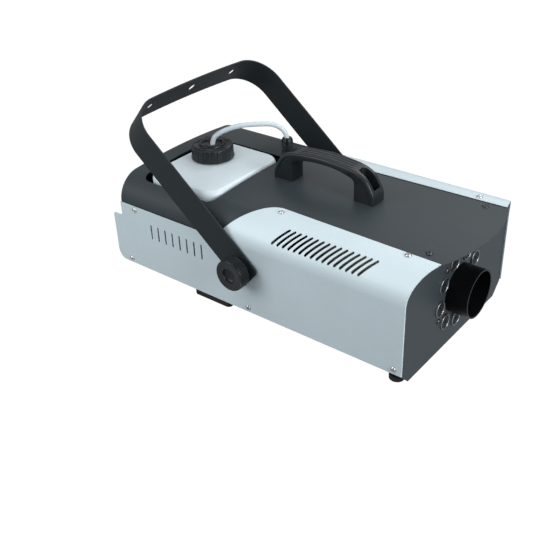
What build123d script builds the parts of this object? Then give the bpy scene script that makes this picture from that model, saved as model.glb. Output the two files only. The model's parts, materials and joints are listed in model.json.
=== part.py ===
"""Fog machine: heated block, pump and tank in a sheet steel case with a tilting yoke.

Frame: +X is the way the fog leaves, +Z is up, and the machine is seen from the right side at -Y.
The origin is on the floor under the middle of the whole machine. All sizes are in millimetres.
"""
import math
import os

from build123d import *

os.makedirs("parts", exist_ok=True)

# ---------------------------------------------------------------- driving dimensions
case_length = 480.0          # side panel, front edge to rear end
case_width = 264.0           # over the side panels
side_height = 96.0           # straight part of the side panels
shoulder_radius = 40.0
crown_angle = 5.0            # slope of the top where the shoulder meets it
base_drop = 19.0             # how far the base pan hangs below the side panels
foot_height = 8.0

panel_wall = 1.2
cover_wall = 1.2
plate_wall = 1.5
panel_gap = 0.8              # side panels to the cover inside them
sheet_gap = 0.3              # between the other nested sheets
seat_gap = 0.05              # under a flat piece that stands on a sheet
pan_chamfer = 17.0
pan_flange_height = 49.0     # base pan, floor to the top of its side flanges

ear_reach = 18.0             # how far the side panels run past the rear plate
ear_height = 75.0
ear_radius = 16.0
wrap_reach = 15.5            # forward sweep of a side panel at its inner front corner
wrap_width_front = 48.0      # side face to the inner edge of the panel, at the front
wrap_width_rear = 55.0
wrap_bulge = 1.6
sweep_gap = 26.0             # front face of the tank to the start of the panels' rear sweep
sweep_length = 58.0
hood_reach = 36.0            # forward reach of the top cover on the centre line

nozzle_height = 56.0         # nozzle axis over the lower edge of the side panels
sleeve_radius = 32.0
sleeve_wall = 2.0
sleeve_reach = 28.0          # in front of the side panels' front edge
sleeve_depth = 22.0          # behind it

led_count = 9
led_circle = 46.0
bezel_radius = 10.5
bezel_height = 3.5
lens_radius = 6.0

tank_length = 125.0
tank_width = 151.0
tank_rise = 3.5              # top of the tank over the shoulder's top line
tank_back = 48.0             # rear face of the tank ahead of the case's rear end
tank_offset = -30.5          # middle of the tank from the centre plane
tank_wall = 2.5
tank_corner = 24.0
tank_edge = 9.0
neck_radius = 26.0
neck_bore = 23.0
cap_radius = 30.8
cap_height = 20.5
cap_wall = 3.0
cap_reach = 42.8             # cap axis ahead of the tank's rear face
cap_side = -12.0             # cap axis from the centre plane

hose_radius = 3.5
tube_radius = 2.0
gland_reach = 6.5            # gland axis ahead of the tank's front face
gland_side = 48.0
gland_height = 31.0

handle_length = 158.0
handle_width = 28.0
handle_height = 46.0
handle_gap = 30.3            # tank to the rear end of the handle
handle_strap = 8.5
handle_foot = 30.0

pivot_back = 238.3
pivot_height = 66.5          # over the lower edge of the side panels
yoke_wall = 2.5
yoke_strip = 42.0
yoke_clearance = 2.0         # side panel to yoke arm
yoke_reach = 255.0           # pivot to the outside of the top bar
yoke_bend = 47.5
yoke_tilt = 49.8             # lean back from upright, in degrees
yoke_bow = 2.5               # slope of the bowed top bar at its ends, in degrees
bow_full_radius = 1950.0     # of the bowed top bar, less where the bends leave it no room
yoke_hole_radius = 6.25
yoke_hole_pitch = 84.0
yoke_hole_side_radius = 5.5

stud_radius = 5.0
stud_fit = 0.05
knob_radius = 21.5
knob_length = 20.0
knob_hub = 2.6
knob_teeth = 36

screw_radius = 1.5
screw_head = 3.4
screw_hole = 1.7

block_length = 180.0
block_width = 64.0
block_height = 54.0
block_front = 32.0           # front face of the heater block behind the front edge
insulation_wall = 10.0

# ---------------------------------------------------------------- planes and levels
front_x = (case_length - hood_reach) / 2
rear_x = front_x - case_length
cover_rear_x = rear_x + ear_reach
half_width = case_width / 2
base_z = foot_height
panel_z = base_z + base_drop
shoulder_z = panel_z + side_height
shoulder_y = half_width - shoulder_radius
floor_z = base_z + plate_wall

cover_inset = panel_wall + panel_gap
liner_inset = cover_inset + cover_wall + sheet_gap
plate_front_x = front_x - 1.0
plate_back_x = plate_front_x - plate_wall
rear_plate_x = cover_rear_x + 1.0
rear_plate_in_x = rear_plate_x + plate_wall
skirt_z = panel_z + 4.0

nozzle_z = panel_z + nozzle_height
pivot_x = front_x - pivot_back
pivot_z = panel_z + pivot_height
tank_x0 = rear_x + tank_back
tank_x1 = tank_x0 + tank_length
cap_x = tank_x0 + cap_reach
cap_y = cap_side
gland_x = tank_x1 + gland_reach
gland_y = gland_side
handle_x = tank_x1 + handle_gap + handle_length / 2
sweep_x = tank_x1 + sweep_gap
wrap_x = sweep_x + sweep_length
tank_y0 = tank_offset - tank_width / 2
tank_y1 = tank_offset + tank_width / 2
tank_z1 = shoulder_z + shoulder_radius + tank_rise


def block(x0, x1, y0, y1, z0, z1):
    """A box between two corners."""
    middle = ((x0 + x1) / 2, (y0 + y1) / 2, (z0 + z1) / 2)
    return Pos(*middle) * Box(x1 - x0, y1 - y0, z1 - z0)


def rod(radius, start, end):
    """A round bar between two points on a line."""
    along = Vector(*end) - Vector(*start)
    place = Plane(origin=start, z_dir=along)
    return extrude(place * Circle(radius), amount=along.length)


def ring(outer, inner, start, end):
    """A round bar with a bore through it."""
    along = Vector(*end) - Vector(*start)
    place = Plane(origin=start, z_dir=along)
    return extrude(place * (Circle(outer) - Circle(inner)), amount=along.length)


def both_sides(solid):
    """The solid and its mirror image across the centre plane."""
    return [solid, mirror(solid, about=Plane.XZ)]


def save(name, *solids):
    """Write one node, each solid of it separate."""
    shapes = []
    for item in solids:
        shapes.extend(item.solids())
    export_step(Compound(children=shapes), f"parts/{name}.step")


def bulged(start, end, rise):
    """An arc from start to end that stands out to the left of the way by rise."""
    dx = end[0] - start[0]
    dy = end[1] - start[1]
    span = math.hypot(dx, dy)
    middle = ((start[0] + end[0]) / 2 - dy / span * rise, (start[1] + end[1]) / 2 + dx / span * rise)
    return ThreePointArc(start, middle, end)


def arc_radii(points, shares):
    """A radius for each corner of a line, whose arc takes its share of the shorter run beside it."""
    corners = [Vector(*p) for p in points]
    radii = []
    for a, b, c, share in zip(corners, corners[1:], corners[2:], shares):
        shorter = min((b - a).length, (c - b).length)
        turn = math.radians((b - a).get_angle(c - b))
        radii.append(share * shorter / math.tan(turn / 2))
    return radii


# ---------------------------------------------------------------- case section
slope = math.radians(90 - crown_angle)


def top_height(y, inset=0.0):
    """Height of the crowned top at a distance y from the centre plane."""
    crown_radius = (shoulder_y + (shoulder_radius - inset) * math.cos(slope)) / math.cos(slope)
    centre_z = shoulder_z - shoulder_y * math.tan(slope)
    return centre_z + math.sqrt(crown_radius**2 - y**2)


def section(inset, bottom, x0, x1):
    """The whole case section, set in by inset, as a solid from x0 to x1."""
    half = half_width - inset
    radius = shoulder_radius - inset
    knee = math.radians(45)
    tangent = (shoulder_y + radius * math.cos(slope), shoulder_z + radius * math.sin(slope))
    middle = (shoulder_y + radius * math.cos(knee), shoulder_z + radius * math.sin(knee))
    outline = [
        Line((-half, bottom), (half, bottom)),
        Line((half, bottom), (half, shoulder_z)),
        ThreePointArc((half, shoulder_z), middle, tangent),
        ThreePointArc(tangent, (0, top_height(0, inset)), (-tangent[0], tangent[1])),
        ThreePointArc((-tangent[0], tangent[1]), (-middle[0], middle[1]), (-half, shoulder_z)),
        Line((-half, shoulder_z), (-half, bottom)),
    ]
    return extrude(Plane.YZ.offset(x0) * make_face(outline), amount=x1 - x0)


def pan_section(inset, top, x0, x1, half=half_width - liner_inset):
    """The base pan's section with its chamfered lower corners."""
    leg = pan_chamfer - inset * (2 - math.sqrt(2))
    side = half - inset
    low = base_z + inset
    points = [(-side, top), (-side, low + leg), (-side + leg, low)]
    points += [(side - leg, low), (side, low + leg), (side, top)]
    return extrude(Plane.YZ.offset(x0) * make_face(Polyline(*points, close=True)), amount=x1 - x0)


# front outline of the case in plan: swept side panels, then the bowed hood
wrap_y = half_width - wrap_width_front
corner = (front_x + wrap_reach, wrap_y)
plan_back = rear_x - 20
plan_front = front_x + 80
plan_side = half_width + 5
above = 2 * (shoulder_z + shoulder_radius)
plan = make_face([
    Line((plan_back, -plan_side), (front_x, -plan_side)),
    Line((front_x, -plan_side), (front_x, -half_width)),
    bulged((front_x, -half_width), (corner[0], -corner[1]), -wrap_bulge),
    ThreePointArc((corner[0], -corner[1]), (front_x + hood_reach, 0), corner),
    bulged(corner, (front_x, half_width), -wrap_bulge),
    Line((front_x, half_width), (front_x, plan_side)),
    Line((front_x, plan_side), (plan_back, plan_side)),
    Line((plan_back, plan_side), (plan_back, -plan_side)),
])
plan_body = extrude(plan, amount=above)

# a drawing plane square to the middle of the right shoulder: x along the case, y up the shoulder
shoulder_plane = Plane(origin=(0, -shoulder_y, shoulder_z), x_dir=(1, 0, 0), z_dir=(0, -1, 1))
shoulder_v = shoulder_radius / math.sqrt(2)


def shoulder_cut(face, depth=120.0):
    """A cutter square to the right shoulder."""
    return extrude(shoulder_plane * face, amount=depth, both=True)


def wrap_v(width):
    """Height on the shoulder plane of a line on the top, width in from the side face."""
    return shoulder_v + (width - shoulder_radius) / math.sqrt(2)


# ---------------------------------------------------------------- screw positions
low_screw_z = panel_z + 7
wrap_screw_y = wrap_y + 4
hood_screw_y = wrap_y - 14
side_screws = [(rear_x + 46, shoulder_z - 5), (rear_x + 27, low_screw_z)]
side_screws += [(front_x - 232, low_screw_z), (front_x - 11, low_screw_z)]
wrap_screws = [(front_x - 24, wrap_screw_y), (wrap_x + 17, wrap_screw_y)]
hood_screws = [(front_x - 7, hood_screw_y)]
side_holes = [rod(screw_hole, (x, -half_width - 3, z), (x, -half_width + 12, z)) for x, z in side_screws]
wrap_holes = [rod(screw_hole, (x, -y, shoulder_z + 20), (x, -y, shoulder_z + 60)) for x, y in wrap_screws]
hood_holes = [rod(screw_hole, (x, -y, shoulder_z + 20), (x, -y, shoulder_z + 60)) for x, y in hood_screws]
pivot_hole = rod(stud_radius + 0.5, (pivot_x, -half_width - 3, pivot_z), (pivot_x, -half_width + 12, pivot_z))


# ---------------------------------------------------------------- side panels
sweep_radius = 34.0
low_edge = -shoulder_v + 0.8         # where the wrapped shoulder ends, behind the sweep
side_vent_count = 8
side_vent_pitch = 13.5
side_vent_size = (23.0, 2.6)
side_vent_place = (rear_x + 76, shoulder_z - 31)
wrap_vent_pitch = 8.4
wrap_vent_size = (30.5, 3.8)
wrap_vent_turn = 54.0
wrap_vent_x0 = wrap_x + 39.5
wrap_vent_count = round((front_x - 57.5 - wrap_vent_x0) / wrap_vent_pitch) + 1


def side_panel():
    """The right side panel: flat side, swept edges, wrapped shoulder, vents and rear ear."""
    shell = section(0, panel_z, rear_x, plan_front)
    shell = shell - section(panel_wall, panel_z - 1, rear_x - 1, plan_front + 1)
    shell = shell & block(rear_x - 5, plan_front, -half_width - 5, -wrap_y + 30, 0, above)
    shell = shell & plan_body

    outline = FilletPolyline(
        (plan_back, low_edge),
        (sweep_x, low_edge),
        (wrap_x, wrap_v(wrap_width_rear)),
        (front_x + wrap_reach, wrap_v(wrap_width_front)),
        (plan_front, wrap_v(wrap_width_front)),
        radius=[sweep_radius, sweep_radius, 0.5],
    )
    top = wrap_v(wrap_width_rear) + 80
    rest = Polyline((plan_front, wrap_v(wrap_width_front)), (plan_front, top), (plan_back, top), (plan_back, low_edge))
    shell = shell - shoulder_cut(make_face([outline, rest]))

    ear = FilletPolyline(
        (plan_front, panel_z - 1),
        (rear_x, panel_z - 1),
        (rear_x, panel_z + ear_height),
        (cover_rear_x, panel_z + ear_height),
        (cover_rear_x, above),
        radius=[ear_radius, 4, 4],
    )
    close = Polyline((cover_rear_x, above), (plan_front, above), (plan_front, panel_z - 1))
    shell = shell & extrude(Plane.XZ * make_face([ear, close]), amount=half_width + 10)

    vents = []
    for i in range(side_vent_count):
        slot = Pos(side_vent_place[0] + side_vent_pitch * i, side_vent_place[1]) * Rot(0, 0, 90)
        slot = slot * SlotOverall(*side_vent_size)
        vents.append(extrude(Plane.XZ.offset(half_width - 5) * slot, amount=10))
    for i in range(wrap_vent_count):
        slot = Pos(wrap_vent_x0 + wrap_vent_pitch * i, 0) * Rot(0, 0, wrap_vent_turn) * SlotOverall(*wrap_vent_size)
        vents.append(extrude(shoulder_plane.offset(shoulder_radius - 16) * slot, amount=30))
    return shell - vents - side_holes - wrap_holes - pivot_hole


right_panel = side_panel()
left_panel = mirror(right_panel, about=Plane.XZ)
save("right_side_panel", right_panel)
save("left_side_panel", left_panel)
print("panels", len(right_panel.solids()))

# ---------------------------------------------------------------- top cover
opening_margin = 4.0
opening_margin_left = 1.5
opening_corner = 14.0
opening = block(tank_x0 - opening_margin, tank_x1 + opening_margin, tank_y0 - opening_margin,
                tank_y1 + opening_margin_left, shoulder_z - 10, above)
opening = fillet(opening.edges().filter_by(Axis.Z), opening_corner)
trim_x = wrap_x + 33.0               # the cover's skirts stop here, under the wrapped shoulders
trim_corner = 12.0
trim_depth = 400.0
gland_hole = 6.4
handle_hole = 2.7
bolt_inset = 15.0                    # end of the handle to its bolts


def top_cover():
    """The black cover: a crowned top with shoulders and skirts at the rear and a hood at the front."""
    shell = section(cover_inset, skirt_z, cover_rear_x, plan_front)
    shell = shell - section(cover_inset + cover_wall, skirt_z - 1, cover_rear_x - 1, plan_front + 1)
    shell = shell & plan_body
    trim = Pos((trim_x + plan_front) / 2, shoulder_v - 2 - trim_depth / 2)
    trim = trim * RectangleRounded(plan_front - trim_x, trim_depth, trim_corner)
    away = shoulder_cut(trim)
    shell = shell - away - mirror(away, about=Plane.XZ) - opening
    for hole in side_holes[:3] + wrap_holes + hood_holes + [pivot_hole]:
        shell = shell - both_sides(hole)
    shell = shell - rod(gland_hole, (gland_x, gland_y, shoulder_z), (gland_x, gland_y, above))
    for end in (-1, 1):
        x = handle_x + end * (handle_length / 2 - bolt_inset)
        shell = shell - rod(handle_hole, (x, 0, shoulder_z), (x, 0, above))
    return shell


cover = top_cover()
save("top_cover", cover)
print("cover", len(cover.solids()))

# ---------------------------------------------------------------- base pan and end plates
pan_top = base_z + pan_flange_height
pan = pan_section(0, pan_top, rear_plate_in_x, plate_back_x)
pan = pan - pan_section(plate_wall, pan_top + 1, rear_plate_in_x - 1, plate_back_x + 1)
for hole in side_holes[1:]:
    pan = pan - both_sides(hole)

foot_radius = 10.0
front_foot = (front_x - 20, half_width - 26)
rear_foot = (rear_x + 162, half_width - 30)
rear_foot_length = 66.0
foot_bolt = 2.0
foot_places = [(front_foot[0], front_foot[1]), (rear_foot[0] - 16, rear_foot[1]), (rear_foot[0] + 16, rear_foot[1])]
foot_holes = []
for x, y in foot_places:
    foot_holes += both_sides(rod(foot_bolt + 0.1, (x, -y, -1), (x, -y, floor_z + 5)))
foot_sinks = []
for x, y in foot_places:
    foot_sinks += both_sides(rod(foot_bolt * 2 + 0.4, (x, -y, -1), (x, -y, foot_height - 4)))
pan = pan - foot_holes
save("base_pan", pan)

round_foot = rod(foot_radius, (front_foot[0], -front_foot[1], 0), (front_foot[0], -front_foot[1], foot_height))
round_foot = chamfer(round_foot.edges().group_by(Axis.Z)[0], 1)
front_feet = [foot - foot_holes - foot_sinks for foot in both_sides(round_foot)]
long_foot = Pos(rear_foot[0], -rear_foot[1], 0) * RectangleRounded(rear_foot_length, 2 * foot_radius, 6)
long_foot = extrude(long_foot, amount=foot_height)
rear_feet = [foot - foot_holes - foot_sinks for foot in both_sides(long_foot)]
save("front_feet", *front_feet)
save("rear_feet", *rear_feet)

foot_screws = []
for x, y in foot_places:
    head = rod(foot_bolt * 2, (x, -y, foot_height - 6.4), (x, -y, foot_height - 4))
    shank = rod(foot_bolt, (x, -y, foot_height - 4), (x, -y, floor_z - 0.1))
    foot_screws += both_sides(head + shank)
save("foot_screws", *foot_screws)


def end_plate(x_out, x_in, flange, hood):
    """A plate across the end of the case with a return flange all round it."""
    x0, x1 = min(x_out, x_in), max(x_out, x_in)
    plate = section(liner_inset, panel_z + 20, x0, x1) + pan_section(0, panel_z + 21, x0, x1)
    if hood:
        cheeks = section(cover_inset, panel_z + 20, x0, x1)
        cheeks = cheeks + pan_section(0, panel_z + 21, x0, x1, half_width - cover_inset)
        plate = plate + (cheeks - block(x0 - 1, x1 + 1, -wrap_y - 10, wrap_y + 10, panel_z + 50, 300))
    inner = x_in + flange
    f0, f1 = min(x_in, inner), max(x_in, inner)
    lip = section(liner_inset, pan_top + 4, f0, f1)
    lip = lip - section(liner_inset + plate_wall, pan_top + 3, f0 - 1, f1 + 1)
    sill = block(f0, f1, -half_width + 38, half_width - 38, floor_z, floor_z + plate_wall)
    return plate + lip + sill


front_flange = 14.0
rear_flange = 12.0
front = end_plate(plate_front_x, plate_back_x, -front_flange, True)
rear = end_plate(rear_plate_x, rear_plate_in_x, rear_flange, False)
for hole in hood_holes:
    front = front - both_sides(hole)

# ---------------------------------------------------------------- nozzle and lamps
sleeve_hole = sleeve_radius + 0.2
mouth_x = front_x + sleeve_reach
sleeve_back_x = front_x - sleeve_depth
tip_radius = 8.0


def on_nozzle(x, radius=0.0, angle=0.0):
    """A point at a distance and angle from the nozzle axis."""
    turn = math.radians(angle)
    return (x, radius * math.cos(turn), nozzle_z + radius * math.sin(turn))


front = front - rod(sleeve_hole, on_nozzle(plate_back_x - 20), on_nozzle(plate_front_x + 5))
lamp_angles = [-90 + 360 / led_count * i for i in range(led_count)]
lamp_hole = 7.7
board_gap = 6.0
board_x = plate_back_x - board_gap
board_wall = 1.6
front_screw_circle = 53.0
front_screw_angles = [50, 130, 210, 330]
for angle in lamp_angles:
    front = front - rod(lamp_hole, on_nozzle(plate_back_x - 5, led_circle, angle),
                        on_nozzle(plate_front_x + 5, led_circle, angle))
for angle in front_screw_angles:
    front = front - rod(screw_hole, on_nozzle(plate_back_x - 5, front_screw_circle, angle),
                        on_nozzle(plate_front_x + 5, front_screw_circle, angle))
save("front_plate", front)

sleeve = rod(sleeve_radius, on_nozzle(sleeve_back_x), on_nozzle(mouth_x))
sleeve = sleeve - rod(sleeve_radius - sleeve_wall, on_nozzle(sleeve_back_x + 1.5), on_nozzle(mouth_x + 1))
sleeve = sleeve - rod(tip_radius + 0.3, on_nozzle(sleeve_back_x - 1), on_nozzle(sleeve_back_x + 5))
sleeve = sleeve + ring(sleeve_radius + 3, sleeve_radius - 0.5, on_nozzle(plate_back_x - 1.5), on_nozzle(plate_back_x))
save("nozzle_sleeve", sleeve)

bezels = []
lenses = []
for angle in lamp_angles:
    profile = make_face(Polyline(
        (lens_radius + 0.6, -5), (lamp_hole - 0.3, -5), (lamp_hole - 0.3, 0), (bezel_radius, 0),
        (bezel_radius, 0.8), (bezel_radius - 1.8, bezel_height), (lens_radius + 1.6, bezel_height),
        (lens_radius, bezel_height - 2), (lens_radius, -1), (lens_radius + 0.6, -1), close=True))
    bezel = revolve(Plane.XZ * profile, Axis.Z)
    place = Plane(origin=on_nozzle(plate_front_x, led_circle, angle), z_dir=(1, 0, 0))
    bezels.append(place * bezel)
    lens = Cylinder(lens_radius + 0.5, 3.9) + Pos(0, 0, 2.4) * Cylinder(lens_radius - 0.1, 1.4)
    lenses.append(place * Pos(0, 0, -3.05) * lens)
save("led_bezels", *bezels)
save("led_lenses", *lenses)

board = ring(front_screw_circle + 7, sleeve_radius + 5, on_nozzle(board_x - board_wall), on_nozzle(board_x))
spacers = []
front_screws = []
for angle in front_screw_angles:
    board = board - rod(screw_hole, on_nozzle(board_x - 5, front_screw_circle, angle),
                        on_nozzle(board_x + 5, front_screw_circle, angle))
    spacers.append(ring(3.0, screw_hole, on_nozzle(board_x, front_screw_circle, angle),
                        on_nozzle(plate_back_x, front_screw_circle, angle)))
    screw = rod(screw_head, on_nozzle(plate_front_x, front_screw_circle, angle),
                on_nozzle(plate_front_x + 1.6, front_screw_circle, angle))
    front_screws.append(screw + rod(screw_radius, on_nozzle(board_x - board_wall - 3, front_screw_circle, angle),
                                    on_nozzle(plate_front_x, front_screw_circle, angle)))
chips = []
for angle in lamp_angles:
    chips.append(rod(2.5, on_nozzle(board_x, led_circle, angle), on_nozzle(board_x + 0.8, led_circle, angle)))
save("led_board", board)
save("led_chips", *chips)
save("board_spacers", *spacers)
save("front_screws", *front_screws)

# ---------------------------------------------------------------- heater
block_x1 = front_x - block_front
block_x0 = block_x1 - block_length
block_z0 = nozzle_z - block_height / 2
block_z1 = nozzle_z + block_height / 2
wrap_ends = 20.0
heater = block(block_x0, block_x1, -block_width / 2, block_width / 2, block_z0, block_z1)
heater = chamfer(heater.edges().filter_by(Axis.X), 5)
port_x = block_x0 + 12
heater = heater - rod(tube_radius + 0.1, (port_x, block_width / 2 - 6, nozzle_z), (port_x, block_width, nozzle_z))
heater = heater - rod(5, on_nozzle(block_x1 - 8), on_nozzle(block_x1 + 1))
save("heater_block", heater)

wrap_half = block_width / 2 + insulation_wall
jacket = block(block_x0 + wrap_ends, block_x1 - wrap_ends, -wrap_half, wrap_half,
               block_z0 - insulation_wall, block_z1 + insulation_wall)
jacket = chamfer(jacket.edges().filter_by(Axis.X), 8)
jacket = jacket - block(block_x0, block_x1, -block_width / 2, block_width / 2, block_z0, block_z1)
save("heater_insulation", jacket)

tip = rod(5, on_nozzle(block_x1 - 8), on_nozzle(block_x1)) + rod(tip_radius, on_nozzle(block_x1), on_nozzle(block_x1 + 16))
tip = tip + extrude(Plane(origin=on_nozzle(block_x1 + 16), z_dir=(1, 0, 0)) * Circle(tip_radius - 1), amount=8, taper=25)
tip = tip - rod(1.2, on_nozzle(block_x1 - 9), on_nozzle(block_x1 + 30))
save("nozzle_tip", tip)

saddle_wall = 2.0
saddle_width = 12.0
leg_y = block_width / 2 - 4
saddle_line = [(-leg_y - 14, floor_z), (-leg_y, floor_z), (-leg_y, block_z0 - saddle_wall)]
saddle_line += [(leg_y, block_z0 - saddle_wall), (leg_y, floor_z), (leg_y + 14, floor_z)]
saddle_line += [(leg_y + 14, floor_z + saddle_wall), (leg_y + saddle_wall, floor_z + saddle_wall)]
saddle_line += [(leg_y + saddle_wall, block_z0), (-leg_y - saddle_wall, block_z0)]
saddle_line += [(-leg_y - saddle_wall, floor_z + saddle_wall), (-leg_y - 14, floor_z + saddle_wall)]
saddles = []
for x in (block_x0 + 4, block_x1 - 16):
    saddles.append(extrude(Plane.YZ.offset(x) * make_face(Polyline(*saddle_line, close=True)), amount=saddle_width))
save("heater_brackets", *saddles)

stat_x = block_x0 + 10
thermostat = rod(8, (stat_x, 0, block_z1), (stat_x, 0, block_z1 + 6))
for side in (-1, 1):
    thermostat = thermostat + block(stat_x - 2, stat_x + 2, side * 4 - 0.4, side * 4 + 0.4, block_z1 + 6, block_z1 + 13)
save("thermostat", thermostat)
fuse_body = rod(2.2, (block_x1 - 10, -9, block_z1 + 2.25), (block_x1 - 10, 9, block_z1 + 2.25))
save("thermal_fuse", fuse_body)

# ---------------------------------------------------------------- tank, cap and suction line
tray_wall = 1.2
tray_gap = 1.0
tray_height = 30.0
tray = block(tank_x0 - tray_gap - tray_wall, tank_x1 + tray_gap + tray_wall, tank_y0 - tray_gap - tray_wall,
             tank_y1 + tray_gap + tray_wall, floor_z, floor_z + tray_height)
tray = tray - block(tank_x0 - tray_gap, tank_x1 + tray_gap, tank_y0 - tray_gap, tank_y1 + tray_gap,
                    floor_z + tray_wall, floor_z + tray_height + 1)
save("tank_tray", tray)

tank_z0 = floor_z + tray_wall


def tank_block(inset):
    """The tank's box with rounded upright corners, set in by inset."""
    body = block(tank_x0 + inset, tank_x1 - inset, tank_y0 + inset, tank_y1 - inset, tank_z0 + inset, tank_z1 - inset)
    return fillet(body.edges().filter_by(Axis.Z), tank_corner - inset)


def rims(body):
    """The edges round the top and the bottom of a body."""
    return body.edges().group_by(Axis.Z)[-1] + body.edges().group_by(Axis.Z)[0]


cap_gap = 0.6
gasket_wall = 1.5
ceiling_z = tank_z1 + cap_height - cap_wall
neck_z1 = ceiling_z - gasket_wall - 0.1
tank = tank_block(0)
tank = fillet(rims(tank), tank_edge) + rod(neck_radius, (cap_x, cap_y, tank_z1 - 2), (cap_x, cap_y, neck_z1))
hollow = tank_block(tank_wall)
hollow_edge = (tank_edge - tank_wall) * (2 - math.sqrt(2))      # keeps the wall's thickness round the edges
hollow = chamfer(rims(hollow), hollow_edge)
tank = tank - hollow - rod(neck_bore, (cap_x, cap_y, tank_z1 - 10), (cap_x, cap_y, neck_z1 + 1))
save("tank", tank)

cap_top = tank_z1 + cap_height
cap = rod(cap_radius, (cap_x, cap_y, tank_z1 + cap_gap), (cap_x, cap_y, cap_top))
cap = chamfer(cap.edges().group_by(Axis.Z)[-1], 2)
cap = cap - rod(neck_radius + 0.5, (cap_x, cap_y, tank_z1 - 5), (cap_x, cap_y, ceiling_z))
cap = cap + ring(18, 14, (cap_x, cap_y, cap_top - 0.5), (cap_x, cap_y, cap_top + 1.5))
for i in range(12):
    notch = Pos(cap_x, cap_y, cap_top) * Rot(0, 0, 15 + 30 * i) * Pos(cap_radius, 0, 0) * Box(9, 4, 3)
    cap = cap - notch
cap = cap - rod(hose_radius + 0.4, (cap_x, cap_y, ceiling_z - 5), (cap_x, cap_y, cap_top + 5))
save("tank_cap", cap)
gasket = ring(neck_radius, hose_radius + 2.5, (cap_x, cap_y, ceiling_z - gasket_wall), (cap_x, cap_y, ceiling_z))
save("cap_gasket", gasket)

hose_end_z = cap_top - 9
pickup = ring(hose_radius, 2.0, (cap_x, cap_y, tank_z0 + tank_wall + 16), (cap_x, cap_y, hose_end_z))
save("pickup_tube", pickup)
strainer = rod(7, (cap_x, cap_y, tank_z0 + tank_wall + 0.1), (cap_x, cap_y, tank_z0 + tank_wall + 16))
save("pickup_strainer", strainer)

gland_seat_z = top_height(gland_y - 9, cover_inset) + seat_gap
gland_top = gland_seat_z + gland_height
body_height = 13.0
stub_height = 8.2                    # how far the gland's stub reaches up inside its nut
gland_shank = 9.0                    # below the seat, through the cover and the locknut
gland_hex = 9.5
stub_radius = 5.8
body_top = gland_seat_z + body_height
gland_body = extrude(Plane(origin=(gland_x, gland_y, gland_seat_z)) * RegularPolygon(gland_hex, 6), amount=body_height)
gland_body = gland_body + rod(gland_hole - 0.4, (gland_x, gland_y, gland_seat_z - gland_shank), (gland_x, gland_y, gland_seat_z))
gland_body = gland_body + rod(stub_radius, (gland_x, gland_y, body_top), (gland_x, gland_y, body_top + stub_height))
hose_seat_z = body_top + stub_height - 1
gland_body = gland_body - rod(hose_radius + 0.1, (gland_x, gland_y, hose_seat_z), (gland_x, gland_y, gland_top))
gland_body = gland_body - rod(tube_radius + 0.1, (gland_x, gland_y, gland_seat_z - 15), (gland_x, gland_y, hose_seat_z))
save("gland_body", gland_body)

nut_z = body_top + 0.3
gland_nut = rod(8.5, (gland_x, gland_y, nut_z), (gland_x, gland_y, gland_top))
gland_nut = chamfer(gland_nut.edges().group_by(Axis.Z)[-1], 2.5)
gland_nut = gland_nut - rod(stub_radius + 0.2, (gland_x, gland_y, nut_z - 1), (gland_x, gland_y, nut_z + stub_height))
gland_nut = gland_nut - rod(hose_radius + 0.8, (gland_x, gland_y, nut_z), (gland_x, gland_y, gland_top + 1))
for i in range(3):
    slit = Pos(gland_x, gland_y, gland_top) * Rot(0, 0, 60 * i) * Box(30, 2.2, 7)
    gland_nut = gland_nut - slit
save("gland_nut", gland_nut)
under_z = top_height(gland_y + 9, cover_inset + cover_wall) - seat_gap
locknut = extrude(Plane(origin=(gland_x, gland_y, under_z - 5)) * RegularPolygon(gland_hex, 6), amount=5)
locknut = locknut - rod(gland_hole - 0.35, (gland_x, gland_y, under_z - 10), (gland_x, gland_y, under_z + 5))
save("gland_locknut", locknut)


def line_tube(radius, points, name):
    """A hose or pipe of straight runs and tangent arcs."""
    radii = arc_radii(points, [0.45] * (len(points) - 2))
    path = FilletPolyline(*points, radius=radii)
    start = Plane(origin=points[0], z_dir=Vector(*points[1]) - Vector(*points[0]))
    tube = sweep(start * Circle(radius), path=path)
    print(name, "radii", [round(r, 1) for r in radii], "length", round(path.length, 1),
          "volume ratio", round(tube.volume / (math.pi * radius**2 * path.length), 4))
    return tube


hose_run = math.hypot(gland_x - cap_x, gland_y - cap_y)
hose_dx = (gland_x - cap_x) / hose_run
hose_dy = (gland_y - cap_y) / hose_run


def hose_point(share, z):
    """A point over the line from the cap to the gland."""
    return (cap_x + hose_dx * hose_run * share, cap_y + hose_dy * hose_run * share, z)


hose_points = [
    hose_point(0, hose_end_z),
    hose_point(0, cap_top + 6),
    hose_point(0.13, cap_top + 17),
    hose_point(0.36, cap_top + 26),
    hose_point(0.62, cap_top + 28),
    hose_point(0.82, gland_top + 20),
    hose_point(0.945, gland_top + 12.5),
    hose_point(1, gland_top + 1.4),
    hose_point(1, hose_seat_z),
]
save("suction_hose", line_tube(hose_radius, hose_points, "suction_hose"))

# ---------------------------------------------------------------- handle
seat_z = top_height(0, cover_inset) + seat_gap
handle_half = handle_length / 2
foot_inner = handle_half - handle_foot
well_x = handle_half - bolt_inset
well_floor = 6.0
handle_bolt = 2.2
well_size = (24.0, 15.0)
well_corner = 4.0
handle_rounding = 1.5
groove_count = 4
groove_pitch = 6.0
groove_width = 2.2
groove_depth = 1.2


def on_handle(shift, height):
    """A point in the handle's side view."""
    return (handle_x + shift, seat_z + height)


def handle_outline(inset):
    """Side view of the handle's outer face, set in by inset."""
    half = handle_half - inset
    top = handle_height - inset
    points = [on_handle(-half, 0), on_handle(-half + 3, handle_height - 29), on_handle(-half + 15.5, top - 12),
              on_handle(42.5 - handle_half, top - 2.5), on_handle(0, top + 0.3)]
    points += [(2 * handle_x - x, z) for x, z in reversed(points[:4])]
    upper = FilletPolyline(*points, radius=arc_radii(points, [0.45, 0.35, 0.27, 0.72, 0.27, 0.35, 0.45]))
    return make_face([upper, Line(points[-1], points[0])])


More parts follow.
